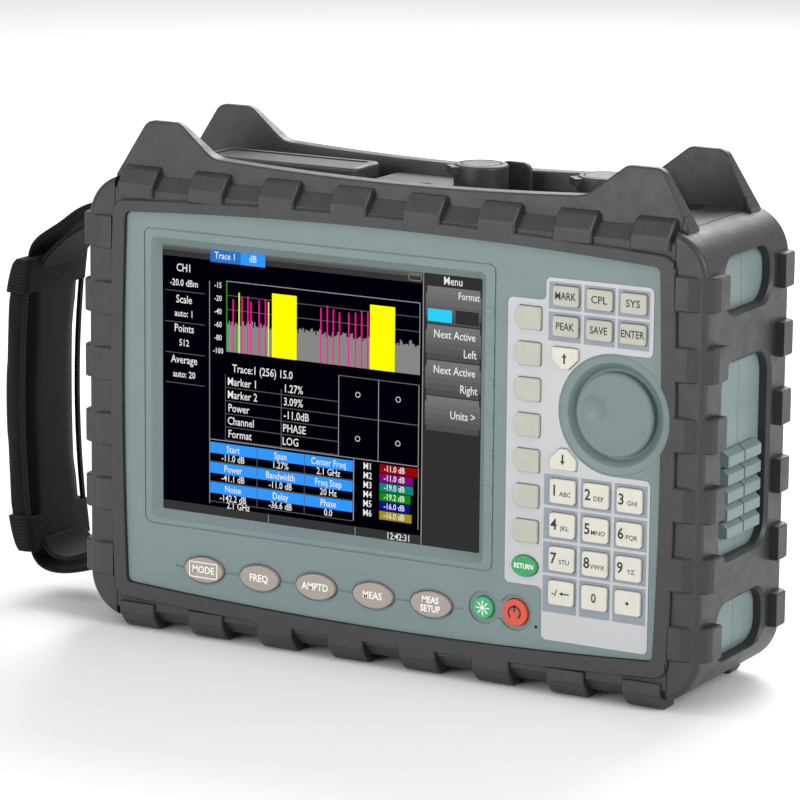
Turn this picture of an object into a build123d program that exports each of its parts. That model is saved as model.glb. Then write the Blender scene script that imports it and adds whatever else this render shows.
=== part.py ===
from build123d import *
from math import cos, sin, radians
import os

os.makedirs("parts", exist_ok=True)

# Portable vector network analyzer in a rubber-bumpered case.
# Frame: X across the front (right is +X), Y from the front to the back, Z up.
# Origin: on the surface it stands on, midway across the case and midway in its depth.

# ---------------------------------------------------------------- driving dimensions (mm)
# Bumper shell
bumper_w = 325.0          # across the flats of the two side bumpers
bumper_h = 216.0          # between the flats of the top and bottom bumpers
bumper_d = 93.0           # from the front rim plane to the rear rim plane
bumper_r = 22.0           # outside corner radius seen from the front
bumper_t = 5.5            # rubber thickness at the sides
lip_t = 5.0               # rubber thickness in front of and behind the case
rim_proud = 2.0           # the inner rim stands this far in front of the recessed faces
rim_w_side = 7.0          # width of the inner rim at the sides
rim_w_top = 5.2           # width of the inner rim along the top
rim_w_bottom = 7.2        # width of the inner rim along the bottom
lug_out = 4.5             # how far the lugs stand out of the bumpers
lug_reach = 16.5          # how far a lug wraps round from the front or rear plane
end_lug_flat_in = 3.0     # a top or bottom lug slopes from this far inside the bumper flat
end_lug_slope_d = 5.0     # and is near its full height this far back
side_lug_flat_in = 8.6    # the same for a side lug
side_lug_slope_d = 4.2
lug_root_in = 6.0         # a lug's flat face runs this far on, into the rim
lug_root_d = 10.0         # how deep a lug is rooted in the bumper
shoulder_in = 6.0         # between lugs the end bumpers slope back from this far inside the flat
shoulder_d = 5.5          # how far back they slope
lug_edge = 0.7            # softened edges of a lug
lug_bend_r = 2.5          # bends of its section
top_lug_count = 8
top_lug_w = 19.25
top_lug_pitch = 38.48
side_lug_count = 6
side_lug_h = 16.0
side_lug_pitch = 31.95
seam_x = 147.0            # parting line between the top or bottom bumper and a side bumper
seam_gap = 0.4            # open parting line between two bumpers
rubber_gap = 0.25         # rubber to case
panel_rise = 1.2          # the front panel's centre is this far above the bumper's centre

# Horns and rails along the top
horn_rise = 25.7          # horn top above the flat of the top bumper
horn_x = 126.0            # horn centre from the middle
horn_flat = 18.0          # width of a horn's flat top
horn_foot_out = 150.0     # outer foot of a horn from the middle
horn_foot_in = 98.0       # inner foot of a horn from the middle
rail_foot_rise = 10.7     # rail height where a horn begins, above the same flat
rail_mid_rise = 7.5       # rail height in the middle, above the same flat
horn_tip_r = 6.0
horn_foot_r = 14.0
horn_edge_r = 1.1
rail_front = 38.0         # outer face of a rail from mid depth, at its foot
rail_back = 27.5          # inner face of a rail from mid depth, at its foot
horn_front = 34.8         # outer face of a horn from mid depth, at its top
horn_back = 30.4          # inner face of a horn from mid depth, at its top
bay_w = 258.0             # opening between the rails, across

# Side windows in the bumpers
window_d = 51.0           # front to back
window_r = 11.0
window_chamfer = 1.6
window_top_z = (67.0, 93.0)
window_mid_z = (-46.0, 44.0)
window_low_z = (-94.0, -67.0)
bottom_window_w = 70.0
bottom_window_x = 88.0
sole_w = 56.0             # flat sole in the middle of the bottom bumper
sole_d = 40.0

# Case
wall = 2.6
panel_w = 280.4           # the panel that shows inside the bumper's rim
panel_h = 180.5
panel_t = 3.0
panel_r = 3.0
panel_bow_x = 2.0         # the panel's sides bow outwards by this much in the middle
panel_bow_z = 4.5         # its top and bottom edges likewise
seam_y = 2.8              # parting line of the front and rear cases
seam_reveal = 0.3
screw_x = 130.0
screw_z = 96.0
screw_boss_r = 5.0
screw_r = 2.0
screw_clear = 0.2
screw_head_r = 3.6
screw_head_h = 3.0

# Louvres low in the middle side windows
louvre_rows = 5
louvre_top_z = 3.0
louvre_pitch = 8.3
louvre_h = 7.2
louvre_out = 4.3
louvre_len = 17.0
louvre_slot = 1.2

# Screen
screen_x = -37.2
screen_z = 11.2
screen_w = 171.4          # visible picture
screen_h = 128.2
bezel_slope = 4.0         # width and depth of the slope round the picture
bezel_line_x = (-130.7, 57.8)
bezel_line_z = (-59.9, 83.8)
bezel_line_w = 0.8
bezel_line_d = 0.5
window_t = 1.5
window_margin = 2.0
screen_boss = 5.5
module_w = 189.0
module_h = 141.5
module_t = 6.0
tick_x = 54.9
tick_w = 4.0
tick_h = 4.2
tick_t = 0.35

# Keys
key_gap = 0.3
key_proud = 1.9
key_edge_r = 0.6
key_travel = 1.0
flange_w = 1.0
flange_t = 0.9
flange_gap = 0.2
soft_x = 74.6
soft_top_z = 61.0
soft_pitch = 16.48
soft_count = 7
soft_w = 13.0
soft_h = 10.6
return_w = 13.2
return_h = 9.8
pad_x = 110.4
pad_pitch_x = 16.86
num_z = -41.0
num_pitch_z = 15.82
num_w = 12.8
num_h = 11.3
fn_z = 65.6
fn_pitch_z = 13.85
fn_w = 12.8
fn_h = 9.3
arrow_w = 13.0
arrow_h = 9.8
arrow_up_z = 44.2
arrow_down_z = -2.3
menu_count = 5
menu_x = -35.3
menu_z = -79.0
menu_pitch = 30.81
menu_w = 21.0
menu_h = 12.1
light_x = 53.3
light_z = -77.0
light_r = 5.2
power_x = 69.8
power_z = -77.2
power_r = 6.4
pod_wall = 2.6            # the recess round the two round keys is this much larger
pod_depth = 0.8
chain_w = 1.2             # groove that joins the menu keys
chain_depth = 0.5
chain_tail = 16.5
lamp_x = 80.4
lamp_z = -82.5
lamp_r = 0.8

# Membrane overlay
overlay_t = 0.5
overlay_sink = 0.3
overlay_gap = 0.15
overlay_r = 2.6
overlay_x = (64.0, 83.2, 136.9)     # left edge, step, right edge
overlay_soft_z = (-63.2, 69.7)      # soft-key column
overlay_low_z = -87.7
overlay_top_z = 80.4

# Rotary knob
knob_x = 118.3
knob_z = 20.6
knob_r = 19.5
knob_proud = 0.5
knob_teeth = 96
knob_tooth = 0.35
dish_rim_gap = 8.3        # outer edge of the dish, beyond the knob
dish_flat_gap = 4.5       # inner edge of its flat rim, beyond the knob
dish_floor_gap = 0.8      # its floor, beyond the knob
dish_depth = 4.0
dish_back = 2.2
dish_clear = 0.4
knob_lift = 0.3
dimple_r = 6.3
dimple_at = (-9.9, 2.1)
dimple_depth = 1.1
shaft_r = 3.0
shaft_clear = 0.05
bush_r = 4.0
bush_clear = 0.2
encoder_w = 13.0
encoder_t = 6.5

# Key mat and boards
mat_t = 1.0
mat_gap = 0.3
board_gap = 0.2
board_t = 1.6
board_x = (60.0, 136.0)   # the part behind the keypad
board_low_z = -86.6
board_top_z = 83.0
strip_x = -110.0          # left end of the part behind the menu keys
strip_top_z = -64.5
post_r = 2.5
main_board_w = 290.0
main_board_h = 158.0
main_board_y = -22.0
main_post_x = 141.0
main_post_z = 74.0
main_post_r = 3.6

# Connector deck on top
deck_t = 3.0
deck_gap = 0.5
deck_hole_w = 240.0
deck_hole_d = 44.0
port_x = (25.5, 89.2)
port_flange = 25.4
port_flange_t = 2.5
port_barrel_r = 7.9
port_barrel_h = 10.5
port_bore_r = 4.3
port_bore_depth = 9.0
port_pin_r = 1.5
port_tail_r = 6.0
cap_r = 12.8
cap_rise = 16.7           # cap top above the deck
cap_clear = 0.35
cap_wall_top = 3.0
cap_tab_w = 9.0
cap_tab_out = 2.6
bracket_w = 16.0
bracket_t = 2.6
bracket_y = 17.2
cover_x = (-120.0, -34.4)
cover_d = 27.7
cover_t = 5.8
cover_rise = 10.7         # cover top above the deck
cover_r = 5.0
coaming_t = 3.0
hinge_pin_r = 1.2
hinge_r = 2.6
hinge_clear = 0.06
plateau_x = (-31.5, 9.0)
plateau_d = 48.0
plateau_h = 4.4
jack_r = 3.4
lan_x = -104.0
lan_w = 16.0
lan_d = 13.6
lan_h = 13.0
lan_wall = 1.6
lan_hole_h = 10.5
usb_x = (-80.0, -62.0)
usb_w = 14.6
usb_d = 7.0
usb_wall = 0.7
dc_x = -46.0
dc_r = 4.2
jack_fit = 0.25

# Hand strap on the left
strap_out = 57.0          # middle of the pad's thickness, outside the left bumper's flat
strap_bow = 5.0
strap_top_z = 57.0
strap_low_z = -89.0
pad_d = 54.0              # width of the pad, front to back
pad_t = 12.5
pad_edge_r = 5.0
web_w = 38.0
web_t = 2.0
web_clear = 0.8
anchor_in = 3.5           # middle of a strap bar, inside the case's side
anchor_top_z = 85.0
anchor_low_z = -86.0
anchor_r = 2.6
anchor_span = 44.0
anchor_wrap = 0.3

# RF module
rf_w = 138.0
rf_h = 62.0
rf_bay_gap = 6.3          # behind it, for its lid, screws and cables
rf_x = 57.0
rf_top_gap = 0.2

# Battery bay, door and stand at the rear
battery_w = 180.0
battery_h = 64.0
battery_t = 21.0
battery_z = 50.3          # centre above the panel centre
battery_gap = 0.4
bay_wall = 3.0
door_t = 2.6
door_ledge = 4.0
door_gap = 0.3
latch_w = 18.0
latch_h = 7.0
stand_w = 120.0
stand_h = 88.0
stand_t = 4.0
stand_top_z = 4.0         # pivot above the panel centre
stand_gap = 0.6
stand_pin_r = 2.0
stand_pin_len = 5.0
stand_pin_clear = 0.06

# ---------------------------------------------------------------- derived sizes and levels
mid_z = lug_out + bumper_h / 2
panel_z = mid_z + panel_rise
case_w = bumper_w - 2 * bumper_t
case_h = bumper_h - 2 * bumper_t
case_r = bumper_r - bumper_t
strap_x = bumper_w / 2 + strap_out
anchor_x = case_w / 2 - anchor_in
dish_floor_r = knob_r + dish_floor_gap
dish_flat_r = knob_r + dish_flat_gap
dish_r = knob_r + dish_rim_gap
front_y = -bumper_d / 2
panel_y = front_y + rim_proud
shoulder_y = front_y + lip_t
panel_back_y = panel_y + panel_t
case_top_z = mid_z + case_h / 2
bumper_top_z = mid_z + bumper_h / 2
deck_z = case_top_z + deck_t
flange_y = panel_back_y + flange_gap
mat_y = flange_y + flange_t + key_travel + mat_gap
board_y = mat_y + mat_t + board_gap
window_y = panel_y + bezel_slope
module_y = window_y + window_t + board_gap


# ---------------------------------------------------------------- helpers
def slab(outline, y0, y1):
    """An outline drawn with X across and Z up, made solid from y0 to y1."""
    return extrude(Plane.XZ.offset(-y0) * outline, amount=y1 - y0, dir=(0, 1, 0))


def tile(w, h, r, x=0.0, z=0.0):
    """A rectangle with rounded corners, in the X-Z plane."""
    return Pos(x, z) * RectangleRounded(w, h, r)


def span_tile(xs, zs, r):
    """The same, between two x values and two z values."""
    return tile(xs[1] - xs[0], zs[1] - zs[0], r, (xs[0] + xs[1]) / 2, (zs[0] + zs[1]) / 2)


def bowed_tile(half_w, low, high, r):
    """An outline whose four sides bow outwards as the panel's do, with rounded corners."""
    mid = (low + high) / 2
    sides = (ThreePointArc((-half_w, high), (0, high + panel_bow_z), (half_w, high)).edges()
             + ThreePointArc((half_w, high), (half_w + panel_bow_x, mid), (half_w, low)).edges()
             + ThreePointArc((half_w, low), (0, low - panel_bow_z), (-half_w, low)).edges()
             + ThreePointArc((-half_w, low), (-half_w - panel_bow_x, mid), (-half_w, high)).edges())
    face = make_face(sides)
    return fillet(face.vertices(), r)


def rod_y(r, y0, y1, x, z):
    return slab(Pos(x, z) * Circle(r), y0, y1)


def rod_z(r, z0, z1, x, y):
    return Pos(x, y, (z0 + z1) / 2) * Cylinder(r, z1 - z0)


def rod_x(r, x0, x1, y, z):
    return Pos((x0 + x1) / 2, y, z) * Rot(0, 90, 0) * Cylinder(r, x1 - x0)


def brick(x0, x1, y0, y1, z0, z1):
    return Pos((x0 + x1) / 2, (y0 + y1) / 2, (z0 + z1) / 2) * Box(x1 - x0, y1 - y0, z1 - z0)


def front_back(solid):
    """The solid and its twin on the other side of mid depth."""
    return [solid, mirror(solid, about=Plane.XZ)]


def left_right(solid):
    return [solid, mirror(solid, about=Plane.YZ)]


def save(shape, node):
    export_step(shape, "parts/" + node + ".step")


# ---------------------------------------------------------------- bumper shell
def lug_section(edge, flat_in, slope_d):
    """Outline of a lug as (distance from centre, depth) points; edge is the bumper's flat."""
    rise = edge + lug_out
    return [
        (edge - flat_in - lug_root_in, front_y),
        (edge - flat_in, front_y),
        (rise - 1.4, front_y + slope_d),
        (rise, front_y + slope_d + 2.6),
        (rise, front_y + lug_reach),
        (edge - 2, front_y + lug_reach),
        (edge - 2, front_y + lug_root_d),
        (edge - flat_in - lug_root_in, front_y + lug_root_d),
    ]


def lug_solid(level, corners, edge, length, away):
    """A lug: its section with rounded bends, made solid, its two ends chamfered."""
    outline = Polygon(*corners, align=None)
    bends = [v for v in outline.vertices()
             if any(abs(v.X - a) + abs(v.Y - b) < 0.01 for a, b in corners[1:4])]
    body = extrude(level * fillet(bends, lug_bend_r), amount=length, dir=level.z_dir)
    axis = Axis((0, 0, 0), level.z_dir)
    caps = body.faces().filter_by(axis).sort_by(axis)
    face_low = min(away(v) for v in body.vertices())
    outer = []
    for e in caps[0].edges() + caps[-1].edges():
        d, y = away(e.center()), e.center().Y
        if d > face_low + 0.1 and (y < front_y + lug_root_d - 0.1 or d > edge - 1.9):
            outer.append(e)
    return chamfer(outer, lug_edge)


def side_lug(z):
    level = Plane.XY.offset(z - side_lug_h / 2)
    edge = bumper_w / 2
    corners = lug_section(edge, side_lug_flat_in, side_lug_slope_d)
    return lug_solid(level, corners, edge, side_lug_h, lambda p: p.X)


def end_lug(x, sign):
    level = Plane.YZ.offset(x - top_lug_w / 2)
    edge = bumper_h / 2
    section = lug_section(edge, end_lug_flat_in, end_lug_slope_d)
    corners = [(y, sign * d) for d, y in section]
    return lug_solid(level, corners, edge, top_lug_w, lambda p: sign * p.Z)


def all_lugs():
    lugs = []
    for i in range(side_lug_count):
        z = panel_z + side_lug_pitch * ((side_lug_count - 1) / 2 - i) - 0.6
        for lug in left_right(side_lug(z)):
            lugs += front_back(lug)
    for i in range(top_lug_count):
        x = top_lug_pitch * (i - (top_lug_count - 1) / 2)
        lugs += front_back(Pos(0, 0, mid_z) * end_lug(x, 1))
        lugs += front_back(Pos(0, 0, mid_z) * end_lug(x, -1))
    return lugs


def panel_outline(inset=0.0):
    half_h = panel_h / 2 - inset
    return bowed_tile(panel_w / 2 - inset, panel_z - half_h, panel_z + half_h, panel_r)


def rim_ring():
    """The raised flat that frames the panel, at the front and at the back."""
    low = panel_z - panel_h / 2 - rim_w_bottom
    high = panel_z + panel_h / 2 + rim_w_top
    half = panel_w / 2 + rim_w_side
    ring = slab(bowed_tile(half, low, high, panel_r + 4), front_y, panel_y + 0.5)
    return front_back(chamfer(ring.faces().sort_by(Axis.Y)[0].edges(), 0.6))


def horn_pair():
    """A rail with a horn at each end: a front outline cut to a tapered section."""
    top = bumper_top_z + horn_rise
    foot = bumper_top_z + rail_foot_rise
    base = bumper_top_z - 4.0
    half = horn_flat / 2
    right = [(horn_foot_in, foot), (horn_x - half, top), (horn_x + half, top),
             (horn_foot_out, bumper_top_z), (horn_foot_out, base)]
    left = [(-x, z) for x, z in reversed(right)]
    rail = ThreePointArc(left[-1], (0, bumper_top_z + rail_mid_rise), right[0])
    outline = make_face(Polyline(*right, *left).edges() + rail.edges())
    outline = fillet([v for v in outline.vertices() if v.Y > top - 0.1], horn_tip_r)
    outline = fillet([v for v in outline.vertices() if abs(v.Y - foot) < 0.1], horn_foot_r)
    front = extrude(Plane.XZ * outline, amount=rail_front + 5)
    section = Polygon(
        (-rail_front, base), (-rail_front, bumper_top_z), (-horn_front, top),
        (-horn_back, top), (-rail_back, bumper_top_z), (-rail_back, base), align=None)
    body = front & extrude(Plane.YZ * section, amount=bumper_w / 2, both=True)
    crest = [e for e in body.edges() if e.center().Z > bumper_top_z + 3
             and abs(e.tangent_at(0.5).Y) < 0.5]
    return front_back(fillet(crest, horn_edge_r))


def side_windows():
    """Cutters for the three windows on each side, chamfered at the outer face."""
    cutters = []
    for low, high in (window_top_z, window_mid_z, window_low_z):
        height = high - low
        spot = Pos(bumper_w / 2 - 8, 0, panel_z + (low + high) / 2) * Rot(0, 90, 0)
        shape = RectangleRounded(height, window_d, window_r)
        hole = spot * extrude(shape, amount=16)
        wide = RectangleRounded(height + 2 * window_chamfer, window_d + 2 * window_chamfer,
                                window_r + window_chamfer)
        lead = spot * Pos(0, 0, 8 - window_chamfer) * loft(
            Sketch() + [shape, Pos(0, 0, window_chamfer) * wide])
        cutters += left_right(hole) + left_right(lead)
    return cutters


def shoulders():
    """Cutters that slope the top and bottom bumpers back between their lugs."""
    edge = bumper_h / 2
    run = shoulder_d / shoulder_in
    wedge = Polygon((panel_y - run, edge - shoulder_in - 1), (panel_y + shoulder_d + run, edge + 1),
                    (panel_y - 2, edge + 1), (panel_y - 2, edge - shoulder_in - 1), align=None)
    cutter = extrude(Plane.YZ * wedge, amount=seam_x - seam_gap, both=True)
    above = Pos(0, 0, mid_z) * cutter
    return front_back(above) + front_back(Pos(0, 0, mid_z) * mirror(cutter, about=Plane.XY))


def bumper_shell():
    base = slab(tile(bumper_w, bumper_h, bumper_r, z=mid_z), panel_y, -panel_y)
    rims = base.faces().sort_by(Axis.Y)
    base = fillet(rims[0].edges() + rims[-1].edges(), 3.0)
    shell = base - shoulders() + rim_ring() + all_lugs() + horn_pair()
    sole = brick(-sole_w / 2, sole_w / 2, -sole_d / 2, sole_d / 2, 0, lug_out + 1)
    shell += sole
    hollow = slab(tile(case_w + 2 * rubber_gap, case_h + 2 * rubber_gap, case_r + rubber_gap, z=mid_z),
                  shoulder_y - rubber_gap, -shoulder_y + rubber_gap)
    opening = slab(panel_outline(), front_y - 1, -front_y + 1)
    dish = rod_y(dish_r + dish_clear, front_y - 1, 0, knob_x, panel_z + knob_z)
    bay = brick(-bay_w / 2, bay_w / 2, -rail_back, rail_back, mid_z, bumper_top_z + 1)
    shell = shell - hollow - opening - dish - bay - side_windows()
    for x in (-bottom_window_x, bottom_window_x):
        shell -= Pos(x, 0, 0) * extrude(
            RectangleRounded(bottom_window_w, window_d, window_r), amount=mid_z)
    return shell


def split_bumpers(shell):
    """Cut the shell into its four rubber mouldings along the parting lines."""
    big = 400.0
    half_h = panel_h / 2
    mid = brick(panel_w / 2 - 30, big, -big, big, panel_z - half_h, panel_z + half_h)
    side = brick(seam_x, big, -big, big, -big, big) + mid
    keep_mid = brick(-seam_x + seam_gap, seam_x - seam_gap, -big, big, 0, big)
    upper = keep_mid & brick(-big, big, -big, big, panel_z + half_h + 0.01, big)
    lower_box = brick(-seam_x + seam_gap, seam_x - seam_gap, -big, big, -big,
                      panel_z - half_h - 0.01)
    return {
        "right_bumper": shell & side,
        "left_bumper": shell & mirror(side, about=Plane.YZ),
        "top_bumper": shell & upper,
        "bottom_bumper": shell & lower_box,
    }


# ---------------------------------------------------------------- keys
def oval(w, h):
    """Outline maker of an oval key: grow widens it all round."""
    return lambda grow=0.0: Ellipse(w / 2 + grow, h / 2 + grow)


def disc(r):
    return lambda grow=0.0: Circle(r + grow)


def block(w, h, r):
    return lambda grow=0.0: RectangleRounded(w + 2 * grow, h + 2 * grow, r + grow)


def arrow(points_up):
    """A five-sided key: flat on one side, pointed on the other."""
    w, h = arrow_w / 2, arrow_h / 2
    s = 1 if points_up else -1
    shape = Polygon((-w, -s * h), (w, -s * h), (w, s * 0.05 * h), (w * 0.28, s * h),
                    (-w * 0.28, s * h), (-w, s * 0.05 * h), align=None)
    shape = fillet(shape.vertices(), 1.2)
    return lambda grow=0.0: offset(shape, grow) if grow else shape


def soft_block():
    """Straight on the right, a wide arc on the left."""
    shape = Rectangle(soft_w, soft_h) & Pos(1.4, 0) * Circle(soft_w / 2 + 1.4)
    right = [v for v in shape.vertices() if v.X > soft_w / 2 - 0.6]
    shape = fillet(right, 1.0)
    return lambda grow=0.0: offset(shape, grow) if grow else shape


def key_table():
    """Every key: its node, outline maker, centre and how far it stands out."""
    keys = []
    for i in range(soft_count):
        keys.append(("soft_key_%d" % (i + 1), soft_block(), soft_x,
                     soft_top_z - i * soft_pitch, key_proud))
    keys.append(("return_key", oval(return_w, return_h), soft_x,
                 soft_top_z - soft_count * soft_pitch, key_proud))
    for i, name in enumerate(("mark", "couple", "system", "peak", "save", "enter")):
        row, col = divmod(i, 3)
        keys.append((name + "_key", block(fn_w, fn_h, 1.3), pad_x + (col - 1) * pad_pitch_x,
                     fn_z + (0.5 - row) * fn_pitch_z, key_proud))
    first_x = pad_x - pad_pitch_x
    keys.append(("arrow_up_key", arrow(False), first_x, arrow_up_z, key_proud))
    keys.append(("arrow_down_key", arrow(True), first_x, arrow_down_z, key_proud))
    names = ("1", "2", "3", "4", "5", "6", "7", "8", "9", "sign", "0", "point")
    for i, name in enumerate(names):
        row, col = divmod(i, 3)
        keys.append(("number_key_" + name, block(num_w, num_h, 1.5),
                     pad_x + (col - 1) * pad_pitch_x, num_z + (1.5 - row) * num_pitch_z,
                     key_proud))
    for i in range(menu_count):
        keys.append(("menu_key_%d" % (i + 1), oval(menu_w, menu_h), menu_key_x(i), menu_z,
                     key_proud))
    keys.append(("backlight_key", disc(light_r), light_x, light_z, key_proud - pod_depth))
    keys.append(("power_key", disc(power_r), power_x, power_z, key_proud - pod_depth))
    return keys


def menu_key_x(i):
    return menu_x + (i - (menu_count - 1) / 2) * menu_pitch


def key_solid(outline, x, z, proud):
    place = Pos(x, panel_z + z)
    stem = slab(place * outline(), panel_y - proud, flange_y)
    rim = stem.faces().sort_by(Axis.Y)[0].edges()
    stem = fillet(rim, key_edge_r)
    flange = slab(place * outline(flange_w), flange_y, flange_y + flange_t)
    return stem + flange


def key_hole(outline, x, z, y0, y1):
    return slab(Pos(x, panel_z + z) * outline(key_gap), y0, y1)


# ---------------------------------------------------------------- overlay
def overlay_outline(grow=0.0):
    """The membrane's outline about the panel centre, hollowed round the knob's dish."""
    left, step = overlay_x[0], overlay_x[1]
    right = overlay_x[2]
    arc_r = dish_r + overlay_gap + 0.15
    start = (knob_x, knob_z - arc_r)
    end = (knob_x, knob_z + arc_r)
    edge = Polyline(
        start, (right, start[1]), (right, overlay_low_z), (step, overlay_low_z),
        (step, overlay_soft_z[0]), (left, overlay_soft_z[0]), (left, overlay_soft_z[1]),
        (step, overlay_soft_z[1]), (step, overlay_top_z), (right, overlay_top_z),
        (right, end[1]), end)
    shape = make_face(edge.edges() + ThreePointArc(end, (knob_x - arc_r, knob_z), start).edges())
    corners = [v for v in shape.vertices() if abs(v.X - knob_x) > 0.1]
    shape = fillet(corners, overlay_r)
    return offset(shape, grow) if grow else shape


def keypad_overlay(keys):
    body = slab(Pos(0, panel_z) * overlay_outline(), panel_y - overlay_t + overlay_sink,
                panel_y + overlay_sink)
    return body - [key_hole(outline, x, z, panel_y - 2, panel_y + 2)
                   for node, outline, x, z, _ in keys
                   if x > overlay_x[0] and node != "power_key"]


# ---------------------------------------------------------------- cases
def case_block(y0, y1):
    return slab(tile(case_w, case_h, case_r, z=mid_z), y0, y1)


def case_hollow(y0, y1):
    return slab(tile(case_w - 2 * wall, case_h - 2 * wall, case_r - wall, z=mid_z), y0, y1)


def raised_panel(y0, y1, inset):
    return slab(panel_outline(inset), y0, y1)


def louvres(y0, y1):
    """Raised louvre blocks on both sides, with slots between them through the wall."""
    blocks, slots = [], []
    x0 = case_w / 2 - 1
    for i in range(louvre_rows):
        top = panel_z + louvre_top_z - i * louvre_pitch
        section = Polygon((x0, top), (case_w / 2 + 1.2, top), (case_w / 2 + louvre_out, top - 2.4),
                          (case_w / 2 + louvre_out, top - louvre_h), (x0, top - louvre_h),
                          align=None)
        blocks += left_right(slab(section, y0, y1))
        slot = brick(case_w / 2 - wall - 1, case_w / 2 + 1, y0 + 2, y1 - 2,
                     top - louvre_pitch + 0.05, top - louvre_pitch + louvre_slot)
        slots += left_right(slot)
    return blocks, slots


def screw_spots():
    return [(x, mid_z + z) for x in (-screw_x, screw_x) for z in (-screw_z, screw_z)]


def anchor_blocks():
    """Cutters for the two wells that the strap's bars stand in, on the left side."""
    wells = []
    for z in (anchor_top_z, anchor_low_z):
        wells.append(brick(-case_w / 2 - 1, -case_w / 2 + 9, -anchor_span / 2, anchor_span / 2,
                           panel_z + z - 8, panel_z + z + 8))
    return wells


def dish_cut():
    """The bowl that the knob sits in, turned about the knob's axis."""
    outline = Polygon(
        (0, panel_y - 3), (dish_r, panel_y - 3), (dish_r, panel_y),
        (dish_r - 0.6, panel_y + 0.5), (dish_flat_r, panel_y + 0.9),
        (dish_floor_r + 0.6, panel_y + dish_depth), (0, panel_y + dish_depth), align=None)
    bowl = revolve(Plane.XY * outline, axis=Axis.Y)
    return Pos(knob_x, 0, panel_z + knob_z) * bowl


def board_posts():
    """Where the keypad board is screwed to the front case, relative to the panel centre."""
    return [(62.5, 78.0), (137.0 - 2 * post_r, -2.0), (62.5, -68.5), (-9.0, -68.5),
            (136.0 - 2 * post_r, 49.5)]


def front_case(keys):
    body = case_block(shoulder_y, seam_y - seam_reveal / 2)
    body += raised_panel(panel_y, shoulder_y + 1, rubber_gap)
    ring = rod_y(dish_r, panel_y, shoulder_y + 1, knob_x, panel_z + knob_z)
    body += ring
    blocks, slots = louvres(seam_y - 0.6 - louvre_len, seam_y - 0.6)
    body += blocks
    body -= case_hollow(shoulder_y + panel_t, seam_y + 1)
    body -= raised_panel(panel_back_y, shoulder_y + panel_t + 1, panel_t + rubber_gap)
    body -= slots
    # frame round the picture, seat for the window, and the slope down to it
    boss_w = screen_w + 2 * (window_margin + screen_boss)
    boss_h = screen_h + 2 * (window_margin + screen_boss)
    body += slab(tile(boss_w, boss_h, 2, screen_x, panel_z + screen_z), panel_back_y - 0.5,
                 window_y + window_t)
    body += rod_y(dish_r + 1, panel_back_y - 0.1, panel_y + dish_depth + dish_back, knob_x,
                  panel_z + knob_z)
    for node, outline, x, z, _ in keys:
        if node.startswith("arrow"):
            body -= slab(Pos(x, panel_z + z) * outline(flange_w + key_gap), panel_back_y, mat_y)
    body -= slab(tile(screen_w, screen_h, 1, screen_x, panel_z + screen_z), panel_y - 1,
                 window_y + window_t + 1)
    body -= slab(tile(screen_w + 2 * (window_margin + overlay_gap),
                      screen_h + 2 * (window_margin + overlay_gap), 1, screen_x,
                      panel_z + screen_z), window_y, window_y + window_t + 1)
    wide = tile(screen_w + 2 * bezel_slope, screen_h + 2 * bezel_slope, 3, screen_x,
                panel_z + screen_z)
    small = tile(screen_w, screen_h, 1, screen_x, panel_z + screen_z)
    body -= loft(Sketch() + [Plane.XZ.offset(-panel_y) * wide, Plane.XZ.offset(-window_y) * small])
    line = slab(span_tile(bezel_line_x, [panel_z + z for z in bezel_line_z], 4), panel_y - 1,
                panel_y + bezel_line_d)
    inner = slab(span_tile([bezel_line_x[0] + bezel_line_w, bezel_line_x[1] - bezel_line_w],
                           [panel_z + bezel_line_z[0] + bezel_line_w,
                            panel_z + bezel_line_z[1] - bezel_line_w], 3.2),
                 panel_y - 2, panel_y + 2)
    body -= line - inner
    for i in range(soft_count):
        z = panel_z + soft_top_z - i * soft_pitch
        body += slab(tile(tick_w, tick_h, 0.4, tick_x, z), panel_y - tick_t, panel_y + 0.5)
    # knob bowl and its shaft hole
    body -= dish_cut()
    body -= rod_y(bush_r + bush_clear, panel_y - 1, shoulder_y + 20, knob_x, panel_z + knob_z)
    # overlay recess, key holes, menu chain, round-key pod and lamp hole
    body -= slab(Pos(0, panel_z) * overlay_outline(overlay_gap), panel_y - 1,
                 panel_y + overlay_sink)
    pod = Pos(light_x, light_z) * Circle(light_r + pod_wall)
    pod += Pos(power_x, power_z) * Circle(power_r + pod_wall - 0.4)
    pod += tile(power_x - light_x, 8.6, 0.5, (light_x + power_x) / 2, (light_z + power_z) / 2)
    body -= slab(Pos(0, panel_z) * pod, panel_y - 1, panel_y + pod_depth)
    reach = (menu_count - 1) / 2 * menu_pitch + chain_tail
    body -= slab(tile(2 * reach, chain_w, 0.5, menu_x, panel_z + menu_z), panel_y - 1,
                 panel_y + chain_depth)
    body -= [key_hole(outline, x, z, panel_y - 1, panel_back_y + 1)
             for _, outline, x, z, _ in keys]
    moat = oval(menu_w, menu_h)(chain_w)
    body -= [slab(Pos(menu_key_x(i), panel_z + menu_z) * moat, panel_y - 1,
                  panel_y + chain_depth) for i in range(menu_count)]
    body -= rod_y(lamp_r, panel_y - 1, panel_back_y + 1, lamp_x, panel_z + lamp_z)
    # posts for the boards and bosses for the case screws
    for x, z in board_posts():
        body += rod_y(post_r, panel_back_y - 0.5, board_y - board_gap, x, panel_z + z)
    for x in (-main_post_x, main_post_x):
        for z in (-main_post_z, main_post_z):
            body += rod_y(main_post_r, shoulder_y + 1, main_board_y - board_gap, x, mid_z + z)
    for x, z in screw_spots():
        body += rod_y(screw_boss_r, shoulder_y + 1, seam_y - 2, x, z)
        body -= rod_y(screw_r + 0.05, seam_y - 22, seam_y + 2, x, z)
    body -= deck_opening()
    for well in anchor_blocks():
        body -= well
        body += anchor_pocket(well, shoulder_y, seam_y - seam_reveal / 2)
    return body


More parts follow.
